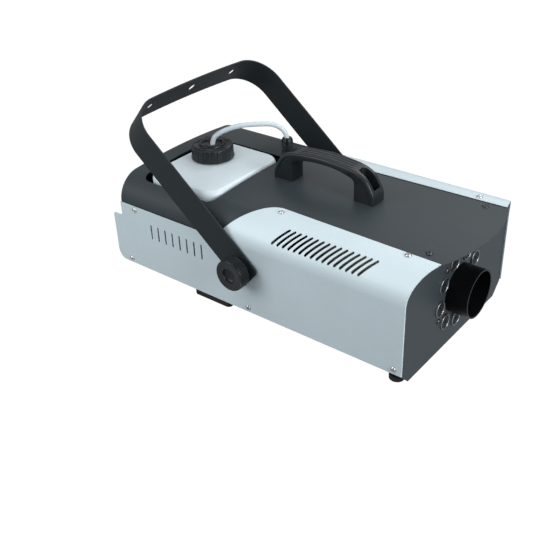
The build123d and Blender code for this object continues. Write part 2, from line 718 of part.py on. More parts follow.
under_ends = handle_height - handle_strap - 8
under_middle = handle_height - handle_strap
grip_flat = foot_inner - 30
grip_points = [
    on_handle(-foot_inner, -5), on_handle(-foot_inner, under_ends), on_handle(-grip_flat, under_middle),
    on_handle(grip_flat, under_middle), on_handle(foot_inner, under_ends), on_handle(foot_inner, -5),
]
grip_hole = FilletPolyline(*grip_points, radius=arc_radii(grip_points, [0.22, 0.21, 0.21, 0.22]))
grip_hole = make_face([grip_hole, Line(grip_points[-1], grip_points[0])])
handle = extrude(Plane.XZ * (handle_outline(0) - grip_hole), amount=handle_width / 2, both=True)
handle = chamfer(handle.edges().filter_by(lambda e: abs(e.center().Y) > handle_width / 2 - 0.01
                                          and e.bounding_box().max.Z > seat_z + 2), handle_rounding)
groove = handle_outline(-2) - handle_outline(groove_depth)
groove_span = 2 * well_x - well_size[0] - 4
groove = groove & (Pos(*on_handle(0, handle_height)) * Rectangle(groove_span, handle_height))
for i in range(groove_count):
    y = groove_pitch * (i - (groove_count - 1) / 2)
    handle = handle - extrude(Plane.XZ.offset(-y) * groove, amount=groove_width / 2, both=True)
handle_screws = []
handle_nuts = []
nut_top = top_height(0, cover_inset + cover_wall) - seat_gap - 0.1
for side in (-1, 1):
    x = handle_x + side * well_x
    well = Plane(origin=(x, 0, seat_z + well_floor)) * RectangleRounded(*well_size, well_corner)
    well = extrude(well, amount=handle_height)
    handle = handle - well - rod(handle_bolt + 0.1, (x, 0, seat_z - 1), (x, 0, seat_z + 10))
    screw = rod(4.2, (x, 0, seat_z + well_floor), (x, 0, seat_z + well_floor + 2.6))
    screw = screw + rod(handle_bolt, (x, 0, nut_top - 6), (x, 0, seat_z + well_floor))
    screw = screw - Pos(x, 0, seat_z + well_floor + 2.6) * Box(6, 1, 2) - Pos(x, 0, seat_z + well_floor + 2.6) * Box(1, 6, 2)
    handle_screws.append(screw)
    nut = extrude(Plane(origin=(x, 0, nut_top - 4)) * RegularPolygon(4.6, 6), amount=4)
    handle_nuts.append(nut - rod(handle_bolt + 0.05, (x, 0, nut_top - 10), (x, 0, nut_top + 2)))
save("handle", handle)
save("handle_screws", *handle_screws)
save("handle_nuts", *handle_nuts)

# ---------------------------------------------------------------- yoke and its knobs
lean = math.radians(yoke_tilt)
yoke_plane = Plane(origin=(pivot_x, 0, pivot_z), x_dir=(0, 1, 0), z_dir=(math.cos(lean), 0, math.sin(lean)))
arm_inner = half_width + yoke_clearance
arm_outer = arm_inner + yoke_wall
bow = math.radians(yoke_bow)
bow_room = arm_outer / math.cos(bow) - yoke_bend * math.tan((math.pi / 2 - bow) / 2)
bow_radius = min(bow_full_radius, 0.99 * bow_room / math.tan(bow))
arm_tail = 20.0


def yoke_outline(inset):
    """The yoke seen square to its strip, set in by inset."""
    half = arm_outer - inset
    peak = yoke_reach + bow_radius * (1 / math.cos(bow) - 1) - inset / math.cos(bow)
    knee = peak - half * math.tan(bow)
    line = FilletPolyline((-half, -arm_tail - 5), (-half, knee), (0, peak), (half, knee), (half, -arm_tail - 5),
                          radius=[yoke_bend - inset, bow_radius - inset, yoke_bend - inset])
    return make_face([line, Line((half, -arm_tail - 5), (-half, -arm_tail - 5))])


yoke = extrude(yoke_plane * (yoke_outline(0) - yoke_outline(yoke_wall)), amount=yoke_strip / 2, both=True)
side_plane = Plane(origin=(pivot_x, 0, pivot_z), x_dir=(-math.sin(lean), 0, math.cos(lean)), z_dir=(0, 1, 0))
strip = Pos((yoke_reach + 100 - arm_tail) / 2, 0) * RectangleRounded(yoke_reach + 100 + arm_tail, yoke_strip, 8)
yoke = yoke & extrude(side_plane * strip, amount=half_width + 20, both=True)
yoke = yoke - rod(stud_radius + stud_fit, (pivot_x, -arm_outer - 5, pivot_z), (pivot_x, arm_outer + 5, pivot_z))


def on_yoke(across, reach):
    """A point in the yoke's own plane: across the machine and out along the arms."""
    return (pivot_x - reach * math.sin(lean), across, pivot_z + reach * math.cos(lean))


for across, radius in ((-yoke_hole_pitch, yoke_hole_side_radius), (0, yoke_hole_radius),
                       (yoke_hole_pitch, yoke_hole_side_radius)):
    yoke = yoke - rod(radius, on_yoke(across, yoke_reach - 20), on_yoke(across, yoke_reach + 20))
save("yoke", yoke)

hub_start = arm_outer + stud_fit
wheel_start = hub_start + knob_hub
wheel_end = wheel_start + knob_length
stud_end = half_width - 14
nut_face = half_width - cover_inset - cover_wall - seat_gap
nut_length = 8.0

teeth = []
for i in range(knob_teeth):
    for share, depth in ((0.0, 0.0), (0.5, 0.0), (0.6, 0.9), (0.9, 0.9)):
        turn = 2 * math.pi * (i + share) / knob_teeth
        teeth.append(((knob_radius - depth) * math.cos(turn), (knob_radius - depth) * math.sin(turn)))
knob_plane = Plane(origin=(pivot_x, -wheel_start, pivot_z), x_dir=(1, 0, 0), z_dir=(0, -1, 0))
knob = extrude(knob_plane * make_face(Polyline(*teeth, close=True)), amount=knob_length - 1.5)
knob = knob + rod(knob_radius - 1.4, (pivot_x, -wheel_start, pivot_z), (pivot_x, -wheel_end, pivot_z))
knob = knob - rod(knob_radius - 5, (pivot_x, -wheel_end + 3, pivot_z), (pivot_x, -wheel_end - 1, pivot_z))
knob = knob + rod(9.5, (pivot_x, -wheel_end + 3, pivot_z), (pivot_x, -wheel_end + 0.8, pivot_z))
knob = knob + rod(14, (pivot_x, -hub_start, pivot_z), (pivot_x, -wheel_start, pivot_z))
knob = knob + rod(stud_radius, (pivot_x, -stud_end, pivot_z), (pivot_x, -hub_start, pivot_z))
save("right_knob", knob)
save("left_knob", mirror(knob, about=Plane.XZ))

washer = ring(18, stud_radius + 1, (pivot_x, -half_width - 0.05, pivot_z), (pivot_x, -arm_inner + 0.05, pivot_z))
save("pivot_washers", *both_sides(washer))
hex_plane = Plane(origin=(pivot_x, -nut_face, pivot_z), z_dir=(0, 1, 0))
pivot_nut = extrude(hex_plane * RegularPolygon(9.8, 6), amount=nut_length)
pivot_nut = pivot_nut - rod(stud_radius + stud_fit, (pivot_x, -half_width, pivot_z), (pivot_x, -half_width + 20, pivot_z))
save("pivot_nuts", *both_sides(pivot_nut))

# ---------------------------------------------------------------- case screws
head_height = 1.5
shank_length = 9.0
case_screws = []
for x, z in side_screws:
    screw = rod(screw_head, (x, -half_width - head_height, z), (x, -half_width, z))
    screw = screw + rod(screw_radius, (x, -half_width, z), (x, -half_width + shank_length, z))
    case_screws += both_sides(screw)
for x, y in wrap_screws:
    face_z = top_height(y - screw_head) + 0.02
    screw = rod(screw_head, (x, -y, face_z), (x, -y, face_z + head_height))
    case_screws += both_sides(screw + rod(screw_radius, (x, -y, face_z - shank_length), (x, -y, face_z)))
save("case_screws", *case_screws)
cover_screws = []
for x, y in hood_screws:
    face_z = top_height(y - screw_head, cover_inset) + 0.02
    screw = rod(screw_head, (x, -y, face_z), (x, -y, face_z + head_height))
    cover_screws += both_sides(screw + rod(screw_radius, (x, -y, face_z - shank_length), (x, -y, face_z)))
save("cover_screws", *cover_screws)

# ---------------------------------------------------------------- rear plate and its fittings
fitting_z = panel_z + 33
flange_wall = 2.5
flange_x = rear_plate_x - flange_wall
mains_y = 85.0
fuse_y = 45.0
switch_y = 12.0
socket_y = -40.0


def behind(y0, y1, z0, z1, near, far):
    """A block at the rear plate, from near to far behind its outer face (negative is inside)."""
    return block(rear_plate_x - far, rear_plate_x - near, y0, y1, fitting_z + z0, fitting_z + z1)


def rear_rod(radius, y, near, far, lift=0.0):
    """A round bar square to the rear plate."""
    return rod(radius, (rear_plate_x - far, y, fitting_z + lift), (rear_plate_x - near, y, fitting_z + lift))


mains = behind(mains_y - 25, mains_y + 25, -12, 12, 0, flange_wall)
mains = fillet(mains.edges().filter_by(Axis.X), 8)
mains = mains + behind(mains_y - 14, mains_y + 14, -10.5, 10.5, -19, 1)
mains = mains - behind(mains_y - 12, mains_y + 12, -8.5, 8.5, -15, flange_wall + 1)
pins = []
for shift, lift in ((-7, -1), (0, 3), (7, -1)):
    mains = mains - behind(mains_y + shift - 1, mains_y + shift + 1, lift - 2, lift + 2, -30, 0)
    pins.append(behind(mains_y + shift - 1, mains_y + shift + 1, lift - 2, lift + 2, -25, -4))
for side in (-1, 1):
    mains = mains - rear_rod(1.8, mains_y + side * 20, -1, flange_wall + 1)
save("mains_inlet", mains)
save("mains_pins", *pins)

cap_stem = 4.0
fuse_holder = rear_rod(8.5, fuse_y, 0, flange_wall) + rear_rod(6.2, fuse_y, -22, 1)
fuse_holder = fuse_holder - rear_rod(cap_stem + stud_fit, fuse_y, -3, flange_wall + 1)
fuse_holder = fuse_holder - rear_rod(2.7, fuse_y, -21, 0)
save("fuse_holder", fuse_holder)
fuse_cap = rear_rod(6.5, fuse_y, flange_wall + 0.05, flange_wall + 6)
fuse_cap = chamfer(fuse_cap.edges().group_by(Axis.X)[0], 0.8)
fuse_cap = fuse_cap + rear_rod(cap_stem, fuse_y, -2.5, flange_wall + 0.05)
fuse_cap = fuse_cap - behind(fuse_y - 0.8, fuse_y + 0.8, -5, 5, flange_wall + 4.5, flange_wall + 7)
save("fuse_cap", fuse_cap)
save("fuse_link", rear_rod(2.6, fuse_y, -20.9, -3.1))

rocker_half = 5.9
rocker_reach = 9.8
rocker_x = rear_plate_x + 3
rocker_angle = 8.0
switch = behind(switch_y - 9.5, switch_y + 9.5, -13.5, 13.5, 0, 2)
switch = switch + behind(switch_y - 8.3, switch_y + 8.3, -11.7, 11.7, -18, 1)
switch = switch - behind(switch_y - rocker_half - 0.3, switch_y + rocker_half + 0.3, -10.3, 10.3, -14.5, 3)
switch = switch - rod(1.25, (rocker_x, switch_y - 7.3, fitting_z), (rocker_x, switch_y + 7.3, fitting_z))
save("power_switch", switch)
face = make_face(Polyline((-6.5, 8.4), (-5.2, 0), (-6.5, -8.4), (-4, -8.9), (4, -5), (4, 5), (-4, 8.9), close=True))
face = Pos(rocker_x, fitting_z) * Rot(0, 0, rocker_angle) * face
rocker = extrude(Plane.XZ.offset(-switch_y) * face, amount=rocker_half, both=True)
rocker = rocker + rod(1.2, (rocker_x, switch_y - 7.2, fitting_z), (rocker_x, switch_y + 7.2, fitting_z))
save("power_rocker", rocker)

socket = behind(socket_y - 13, socket_y + 13, -15.5, 15.5, 0, 2)
socket = fillet(socket.edges().filter_by(Axis.X), 3)
socket = socket + rear_rod(11.5, socket_y, -18, 1)
socket = socket - (rear_rod(9.7, socket_y, -9, 3) - rear_rod(7.9, socket_y, -9, 3))
for turn in (90, 210, 330):
    y = socket_y + 4.2 * math.cos(math.radians(turn))
    socket = socket - rear_rod(1.3, y, -8, 3, 4.2 * math.sin(math.radians(turn)))
for side in (-1, 1):
    socket = socket - rear_rod(1.5, socket_y + side * 10, -1, 3, side * 12.5)
save("remote_socket", socket)

rear = rear - behind(mains_y - 14.3, mains_y + 14.3, -10.8, 10.8, -30, 5)
rear = rear - rear_rod(6.5, fuse_y, -30, 5) - rear_rod(11.8, socket_y, -30, 5)
rear = rear - behind(switch_y - 8.6, switch_y + 8.6, -12, 12, -30, 5)
save("rear_plate", rear)

# ---------------------------------------------------------------- pump and its lines
pump_y = half_width - 40
pump_z = 43.0
pump_x0 = tank_x1 + 25
coil_length = 48.0
post = 2.0
pump_radius = 8.0
cradle = block(pump_x0, pump_x0 + coil_length + 2 * post, pump_y - 12, pump_y + 12, floor_z, floor_z + post)
for x in (pump_x0, pump_x0 + post + coil_length):
    cradle = cradle + block(x, x + post, pump_y - 12, pump_y + 12, floor_z, pump_z + 12)
cradle = cradle - rod(pump_radius + 0.1, (pump_x0 - 5, pump_y, pump_z), (pump_x0 + 100, pump_y, pump_z))
save("pump_bracket", cradle)
coil = block(pump_x0 + post + 0.05, pump_x0 + post + coil_length - 0.05, pump_y - 15, pump_y + 15, pump_z - 16, pump_z + 16)
coil = fillet(coil.edges().filter_by(Axis.X), 4)
coil = coil - rod(pump_radius + 0.1, (pump_x0 - 5, pump_y, pump_z), (pump_x0 + 100, pump_y, pump_z))
save("pump_coil", coil)
pump_in_x = pump_x0 - 19
pump_out_x = pump_x0 + coil_length + 2 * post + 19
pump = rod(pump_radius, (pump_x0 - 8, pump_y, pump_z), (pump_out_x - 10, pump_y, pump_z))
pump = pump + rod(pump_radius + 3, (pump_out_x - 18, pump_y, pump_z), (pump_out_x - 11, pump_y, pump_z))
pump = pump + rod(3.5, (pump_in_x, pump_y, pump_z), (pump_x0 - 8, pump_y, pump_z))
pump = pump + rod(4.0, (pump_out_x - 10, pump_y, pump_z), (pump_out_x, pump_y, pump_z))
pump = pump - rod(tube_radius + 0.1, (pump_in_x - 1, pump_y, pump_z), (pump_in_x + 8, pump_y, pump_z))
pump = pump - rod(tube_radius + 0.1, (pump_out_x - 8, pump_y, pump_z), (pump_out_x + 1, pump_y, pump_z))
save("pump_body", pump)

inlet_points = [
    (gland_x, gland_y, hose_seat_z - 0.3),
    (gland_x, gland_y, gland_seat_z - 34),
    (gland_x - 20, gland_y + 20, gland_seat_z - 80),
    (gland_x - 34, gland_y + 36, pump_z + 24),
    (pump_in_x - 18, pump_y, pump_z),
    (pump_in_x + 7.9, pump_y, pump_z),
]
save("inlet_tube", line_tube(tube_radius, inlet_points, "inlet_tube"))
port_depth = block_width / 2 - 6
feed_points = [
    (pump_out_x - 7.9, pump_y, pump_z),
    (pump_out_x + 20, pump_y, pump_z),
    (pump_out_x + 32, pump_y - 9, pump_z + 24),
    (port_x + 10, pump_y - 26, nozzle_z),
    (port_x, block_width / 2 + 14, nozzle_z),
    (port_x, port_depth + 0.1, nozzle_z),
]
save("feed_tube", line_tube(tube_radius, feed_points, "feed_tube"))

# ---------------------------------------------------------------- transformer and control board
core_half = 25.0
core_height = 42.0
stack = 13.0
leg_half = 7.0
yoke_iron = 7.0
winding_reach = 23.0


card_length = 110.0
card_width = 54.0
card_x1 = block_x1 - 40
card_x0 = card_x1 - card_length
card_y0 = 26 - half_width
card_y1 = card_y0 + card_width
tray_front = tank_x1 + tray_gap + tray_wall
core_share = 0.27                    # of the room between tray and card, left behind the core
core_x = tray_front + core_share * (card_x0 - tray_front - 2 * core_half) + core_half
core_y = 51 - half_width


def iron(x0, x1, z0, z1, reach, gap=0.0):
    """A block measured from the middle of the transformer's foot."""
    return block(core_x + x0 + gap, core_x + x1 - gap, core_y - reach, core_y + reach, floor_z + z0 + gap, floor_z + z1 - gap)


core = iron(-core_half, core_half, 0, core_height, stack)
windows = iron(-core_half + yoke_iron, -leg_half, yoke_iron, core_height - yoke_iron, stack + 1)
windows = windows + iron(leg_half, core_half - yoke_iron, yoke_iron, core_height - yoke_iron, stack + 1)
save("transformer_core", core - windows)
winding = iron(-core_half + yoke_iron, core_half - yoke_iron, yoke_iron, core_height - yoke_iron, winding_reach, 0.1)
winding = fillet(winding.edges().filter_by(Axis.Z), 5)
winding = winding - iron(-leg_half, leg_half, 0, core_height, stack, -0.1)
save("transformer_winding", winding)

card_z = floor_z + 11
card = block(card_x0, card_x1, card_y0, card_y1, card_z, card_z + board_wall)
pillars = []
for x in (card_x0 + 5, card_x1 - 5):
    for y in (card_y0 + 5, card_y1 - 5):
        card = card - rod(screw_hole, (x, y, card_z - 5), (x, y, card_z + 5))
        pillars.append(ring(3.0, screw_hole, (x, y, floor_z), (x, y, card_z)))
save("control_card", card)
save("card_pillars", *pillars)
card_top = card_z + board_wall
relay = block(card_x0 + 14, card_x0 + 34, card_y0 + 10, card_y0 + 26, card_top, card_top + 16)
terminals = block(card_x0 + 40, card_x1 - 14, card_y0 + 3, card_y0 + 13, card_top, card_top + 10)
capacitor = rod(7, (card_x0 + 22, card_y1 - 14, card_top), (card_x0 + 22, card_y1 - 14, card_top + 22))
chip = block(card_x0 + 48, card_x0 + 70, card_y1 - 24, card_y1 - 16, card_top, card_top + 4)
sink = block(card_x1 - 28, card_x1 - 10, card_y1 - 22, card_y1 - 10, card_top, card_top + 24)
for i in range(4):
    x = card_x1 - 26 + 4.4 * i
    sink = sink - block(x, x + 1.6, card_y1 - 19, card_y1, card_top + 4, card_top + 30)
save("card_components", relay, terminals, capacitor, chip, sink)
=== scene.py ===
import json
import math

import bmesh
import bpy
from mathutils import Matrix, Quaternion, Vector


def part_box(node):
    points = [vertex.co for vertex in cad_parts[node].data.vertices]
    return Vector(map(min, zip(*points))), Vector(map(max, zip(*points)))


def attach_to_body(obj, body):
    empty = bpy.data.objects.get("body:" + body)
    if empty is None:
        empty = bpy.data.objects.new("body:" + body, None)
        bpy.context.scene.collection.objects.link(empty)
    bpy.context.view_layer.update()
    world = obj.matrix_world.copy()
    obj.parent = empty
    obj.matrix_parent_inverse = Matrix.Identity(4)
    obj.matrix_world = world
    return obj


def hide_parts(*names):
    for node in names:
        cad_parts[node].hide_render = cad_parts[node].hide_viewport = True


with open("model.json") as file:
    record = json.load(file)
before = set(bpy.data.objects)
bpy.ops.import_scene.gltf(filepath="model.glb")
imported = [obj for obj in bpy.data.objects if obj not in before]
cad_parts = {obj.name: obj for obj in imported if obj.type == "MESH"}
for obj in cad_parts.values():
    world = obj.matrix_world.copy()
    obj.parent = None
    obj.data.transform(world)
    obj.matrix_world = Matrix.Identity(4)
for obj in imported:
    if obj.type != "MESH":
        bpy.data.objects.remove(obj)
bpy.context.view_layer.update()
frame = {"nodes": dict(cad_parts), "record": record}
scene = bpy.context.scene
scene.view_settings.view_transform = "Standard"
mm = 0.001  # pieces are drawn in millimetres and scaled once, when their mesh is written
weld = 0.0005  # vertices nearer to each other than this are made one
print("frame loaded:", len(frame["nodes"]), "nodes")


# camera, lights and floor
camera = {
    "location": (0.59025, -0.80333, 0.64827),
    "direction": (-0.548537, 0.651778, -0.523730),
    "roll": -2.575,
    "lens": 55.69,
}
lights = {
    # name: (place, aim, size, power, colour)
    "overhead": ((-0.15, -0.10, 1.5), (0.0, -0.05, 0.1), (1.2, 1.0), 3.4, (1.0, 1.0, 1.0)),
    "overSide": ((-0.25, -0.62, 0.85), (-0.05, -0.13, 0.1), (0.9, 0.35), 2.6, (0.97, 0.99, 1.0)),
    "nearSide": ((-0.85, -1.40, 0.75), (0.0, 0.0, 0.08), (1.0, 0.8), 13.0, (0.97, 0.99, 1.0)),
    "front": ((1.5, -0.15, 0.75), (0.15, 0.0, 0.08), (0.9, 0.9), 27.0, (0.98, 0.99, 1.0)),
    "behind": ((0.25, 1.15, 1.25), (0.0, 0.0, 0.1), (0.9, 0.5), 7.5, (1.0, 1.0, 1.0)),
    "behindLeft": ((-0.75, 1.5, 1.2), (0.0, 0.1, 0.1), (1.4, 0.8), 4.0, (0.96, 0.98, 1.0)),
}
stageLook = {
    "floorColour": (0.14, 0.15, 0.16), "floorSize": 9, "floorHeight": -0.0004,
    "white": 1.12, "whiteShare": 0.9,  # the white glow the camera sees on the floor, and its share
    "fill": 0.4,  # the world's level for everything that isn't the camera
    "floorMirror": 0.45,  # the share of the glow that shows in reflections
}


def aimed(direction, roll=0.0):
    turn = Vector(direction).to_track_quat("-Z", "Y")
    return turn @ Quaternion((0, 0, 1), math.radians(roll))


def addCamera():
    data = bpy.data.cameras.new("camera")
    data.lens = camera["lens"]
    data.sensor_width = 36
    data.clip_end = 50
    eye = bpy.data.objects.new("camera", data)
    eye.rotation_mode = "QUATERNION"
    eye.location = camera["location"]
    eye.rotation_quaternion = aimed(camera["direction"], camera["roll"])
    scene.collection.objects.link(eye)
    scene.camera = eye


def addLights():
    for name, (place, aim, size, power, colour) in lights.items():
        data = bpy.data.lights.new(name, "AREA")
        data.shape = "RECTANGLE"
        data.size, data.size_y = size
        data.energy = power
        data.color = colour
        lamp = bpy.data.objects.new(name, data)
        lamp.location = place
        lamp.rotation_mode = "QUATERNION"
        lamp.rotation_quaternion = aimed(Vector(aim) - Vector(place))
        scene.collection.objects.link(lamp)


# shader maths
class Link:
    # one output socket, so that shader maths reads as plain sums

    def __init__(self, tree, output=None):
        self.tree = tree
        self.output = output

    def node(self, kind, settings=None, inputs=None, output=0):
        made = self.tree.nodes.new("ShaderNode" + kind)
        for key, value in (settings or {}).items():
            if key == "stops":
                ramp = made.color_ramp.elements
                while len(ramp) < len(value):
                    ramp.new(0.5)
                for stop, (place, shade) in zip(ramp, value):
                    stop.position = place
                    stop.color = (*shade, 1) if isinstance(shade, tuple) else (shade, shade, shade, 1)
            else:
                setattr(made, key, value)
        for key, value in (inputs or {}).items():
            if isinstance(value, Link):
                self.tree.links.new(value.output, made.inputs[key])
            else:
                made.inputs[key].default_value = value
        return Link(self.tree, made.outputs[output])

    def maths(self, operation, *values):
        return self.node("Math", {"operation": operation}, dict(enumerate(values)))

    def __add__(self, other):
        return self.maths("ADD", self, other)

    def __mul__(self, other):
        return self.maths("MULTIPLY", self, other)

    def blendTo(self, other, share):
        # from this colour to the other one
        return self.node("Mix", {"data_type": "RGBA"}, {0: share, 6: self, 7: other}, 2)


def rgba(colour):
    return (*colour, 1.0)


def newFinish(name, **constants):
    material = bpy.data.materials.new(name)
    material.use_nodes = True
    tree = material.node_tree
    shader = tree.nodes["Principled BSDF"]
    for key, value in constants.items():
        shader.inputs[key.replace("_", " ")].default_value = value
    return material, shader, Link(tree).node("TexCoord", output="Object")


def attach(shader, socket, link):
    link.tree.links.new(link.output, shader.inputs[socket])


def noise(place, scale, detail=2.0, roughness=0.5, stretch=None):
    if stretch:
        place = place.node("Mapping", inputs={"Vector": place, "Scale": stretch})
    values = {"Vector": place, "Scale": scale, "Detail": detail, "Roughness": roughness}
    return place.node("TexNoise", inputs=values)


def shaded(colour, factor):
    return tuple(c * factor for c in colour)


def ramp(link, stops):
    # stops are (place, colour or grey level) pairs
    return link.node("ValToRGB", {"stops": stops}, {"Fac": link})


def bump(height, distance):
    # the distance is in metres
    return height.node("Bump", inputs={"Height": height, "Distance": distance, "Strength": 1.0})


def cameraSees(tree):
    # 1 for what the camera sees, also through something clear, and 0 for the rest
    direct = Link(tree).node("LightPath", output="Is Camera Ray")
    through = Link(tree).node("LightPath", output="Is Transmission Ray")
    return direct.maths("MAXIMUM", direct, through)


def addStage():
    stage = stageLook
    world = bpy.data.worlds.new("studio")
    scene.world = world
    world.use_nodes = True
    tree = world.node_tree
    level = cameraSees(tree) * (1 - stage["fill"]) + stage["fill"]
    back = tree.nodes["Background"]
    back.inputs["Color"].default_value = (1.0, 1.0, 1.0, 1)
    tree.links.new(level.output, back.inputs["Strength"])

    bm = bmesh.new()
    bmesh.ops.create_grid(bm, x_segments=2, y_segments=2, size=stage["floorSize"])
    mesh = bpy.data.meshes.new("floor")
    bm.to_mesh(mesh)
    bm.free()
    floor = bpy.data.objects.new("floor", mesh)
    floor.location.z = stage["floorHeight"]
    scene.collection.objects.link(floor)
    colour = rgba(stage["floorColour"])
    material, shader, place = newFinish("floorPaper", Roughness=0.9, Base_Color=colour)
    tree = material.node_tree
    glow = place.node("Emission", inputs={"Color": (1, 1, 1, 1), "Strength": stage["white"]})
    mirrored = place.node("LightPath", output="Is Glossy Ray")
    share = cameraSees(tree) * stage["whiteShare"]
    share = share.maths("MAXIMUM", share, mirrored * stage["floorMirror"])
    mixed = place.node("MixShader", inputs={0: share, 1: Link(tree, shader.outputs[0]), 2: glow})
    tree.links.new(mixed.output, tree.nodes["Material Output"].inputs["Surface"])
    mesh.materials.append(material)


addCamera()
addLights()
addStage()
print("stage set")


# finishes
def powderCoat(name, colour, grain, grainDepth, rough, fleck=0.06, metallic=0.0, grime=0.0, shine=0.5):
    # sprayed and baked paint: fine orange peel, a faint fleck and broad, weak cloudiness
    material, shader, place = newFinish(name, Metallic=metallic, Specular_IOR_Level=shine)
    peel = noise(place, grain, 3.0, 0.6)
    fine = noise(place, grain * 3.1, 2.0, 0.5)
    clouds = noise(place, 14, 3.0)
    speckle = ramp(fine, [(0.35, shaded(colour, 1 - fleck)), (0.65, shaded(colour, 1 + fleck))])
    tint = speckle.blendTo(rgba(shaded(colour, 0.9)), ramp(clouds, [(0.42, 0.0), (0.75, 0.35)]))
    attach(shader, "Base Color", tint)
    attach(shader, "Roughness", peel * 0.10 + (rough - 0.05) + clouds * grime)
    attach(shader, "Normal", bump(peel + fine * 0.4, grainDepth * mm))
    return material


def moulded(name, colour, rough, grain=900, depth=0.02, shine=0.5):
    # injection moulded plastic: spark eroded grain, slightly shinier where it is handled
    material, shader, place = newFinish(name, Specular_IOR_Level=shine)
    spark = noise(place, grain, 2.0, 0.7)
    wear = noise(place, 30, 3.0)
    attach(shader, "Base Color", ramp(wear, [(0.35, shaded(colour, 0.85)), (0.7, shaded(colour, 1.2))]))
    attach(shader, "Roughness", wear * 0.12 + (rough - 0.06) + spark * 0.05)
    attach(shader, "Normal", bump(spark, depth * mm))
    return material


def bareMetal(name, colour, rough, stretch=(1, 1, 30), scale=260, depth=0.004):
    # drawn or turned metal: fine directional scratches
    material, shader, place = newFinish(name, Metallic=1.0)
    lines = noise(place, scale, 3.0, 0.6, stretch)
    patches = noise(place, 40, 2.0)
    attach(shader, "Base Color", ramp(patches, [(0.3, shaded(colour, 0.8)), (0.7, colour)]))
    attach(shader, "Roughness", lines * 0.18 + (rough - 0.09))
    attach(shader, "Normal", bump(lines, depth * mm))
    return material


def milkyPlastic(name, colour, rough, glow, radius, ripple, grain):
    # thin translucent plastic: light spreads inside it over the radius, in metres
    material, shader, place = newFinish(name, Subsurface_Weight=glow, Subsurface_Scale=radius, IOR=1.45)
    shader.inputs["Subsurface Radius"].default_value = (1.0, 1.0, 1.0)
    flow = noise(place, 22, 3.0, 0.5, (1, 1, 0.35))
    skin = noise(place, 420, 2.0)
    attach(shader, "Base Color", ramp(flow, [(0.3, shaded(colour, 0.94)), (0.7, colour)]))
    attach(shader, "Roughness", skin * 0.08 + flow * 0.06 + (rough - 0.07))
    attach(shader, "Normal", bump(flow * ripple + skin * grain, 0.05 * mm))
    return material


def wovenFibre(name, colour):
    # coarse cloth: two sets of threads across each other
    material, shader, place = newFinish(name, Roughness=0.95)
    threads = [place.node("TexWave", {"wave_type": "BANDS", "bands_direction": direction},
                          {"Vector": place, "Scale": 90.0, "Distortion": 1.5}, 1)
               for direction in ("X", "DIAGONAL")]
    weave = place.maths("MAXIMUM", *threads)
    attach(shader, "Base Color", ramp(weave, [(0.2, shaded(colour, 0.7)), (0.9, colour)]))
    attach(shader, "Normal", bump(weave, 0.4 * mm))
    return material


def lacqueredCard(name, colour, track):
    # a circuit card with its tracks showing through the lacquer
    material, shader, place = newFinish(name, Roughness=0.35)
    values = {"Vector": place, "Scale": 160.0, "Mortar Size": 0.06}
    cells = place.node("TexBrick", {"offset": 0.5}, values, 1)
    attach(shader, "Base Color", ramp(cells, [(0.1, colour), (0.9, track)]))
    attach(shader, "Normal", bump(cells, 0.05 * mm))
    return material


finish = {
    "silver_panel": powderCoat(
        "silverPanelPaint", (0.475, 0.56, 0.60), 700, 0.022, 0.45, 0.05, 0.1, 0.04, 0.4),
    "case_black": powderCoat(
        "caseBlackPaint", (0.026, 0.034, 0.039), 1100, 0.05, 0.46, 0.16, 0.0, 0.05, 0.2),
    "nozzle_black": powderCoat(
        "nozzleEnamel", (0.0024, 0.0032, 0.0036), 1200, 0.006, 0.32, 0.1, 0.0, 0.02, 0.12),
    "screw_black": bareMetal("blackenedSteel", (0.07, 0.074, 0.078), 0.42),
    "yoke_black": powderCoat(
        "yokeBlackPaint", (0.0155, 0.0205, 0.0235), 900, 0.03, 0.5, 0.12, 0.0, 0.04, 0.12),
    "black_plastic": moulded("blackMouldedPlastic", (0.0098, 0.0132, 0.0153), 0.36, shine=0.26),
    "foot_rubber": moulded("footRubber", (0.014, 0.014, 0.015), 0.75, 500, 0.05, shine=0.3),
    "steel": bareMetal("zincSteel", (0.52, 0.51, 0.51), 0.3),
    "washer_plastic": moulded("washerNylon", (0.012, 0.012, 0.013), 0.5, shine=0.3),
    "tank_plastic": milkyPlastic("tankPolyethylene", (0.54, 0.62, 0.66), 0.42, 0.3, 0.012, 6, 0.4),
    "hose_plastic": milkyPlastic("hoseTubing", (0.50, 0.57, 0.61), 0.3, 0.35, 0.004, 0.2, 0.03),
    "tray_steel": powderCoat("trayPaint", (0.07, 0.08, 0.085), 900, 0.03, 0.5, shine=0.3),
    "bezel_chrome": bareMetal("bezelPlate", (0.27, 0.285, 0.30), 0.34, (1, 1, 1), 500, 0.002),
    "lens_clear": moulded("lensPlastic", (0.0095, 0.012, 0.0135), 0.5, 300, 0.004, shine=0.12),
    "card_green": lacqueredCard("circuitCard", (0.02, 0.13, 0.05), (0.08, 0.26, 0.10)),
    "component_black": moulded("componentCase", (0.02, 0.02, 0.022), 0.5),
    "tip_brass": bareMetal("turnedBrass", (0.70, 0.50, 0.22), 0.25),
    "block_aluminium": bareMetal("castAluminium", (0.66, 0.66, 0.67), 0.5, (1, 1, 1), 180, 0.05),
    "jacket_fibre": wovenFibre("glassFibre", (0.72, 0.68, 0.58)),
    "winding_copper": bareMetal("copperWinding", (0.55, 0.24, 0.08), 0.35, (1, 1, 12), 500, 0.05),
}
slotOf = {part["node"]: part["material_slot"] for part in frame["record"]["subparts"]}
bodyOf = {node: body for body, nodes in frame["record"]["behaviour"]["bodies"].items() for node in nodes}
for nodeName, piece in frame["nodes"].items():
    for index in range(len(piece.material_slots)):
        piece.material_slots[index].material = finish[slotOf[nodeName]]
print("finishes made:", len(finish))


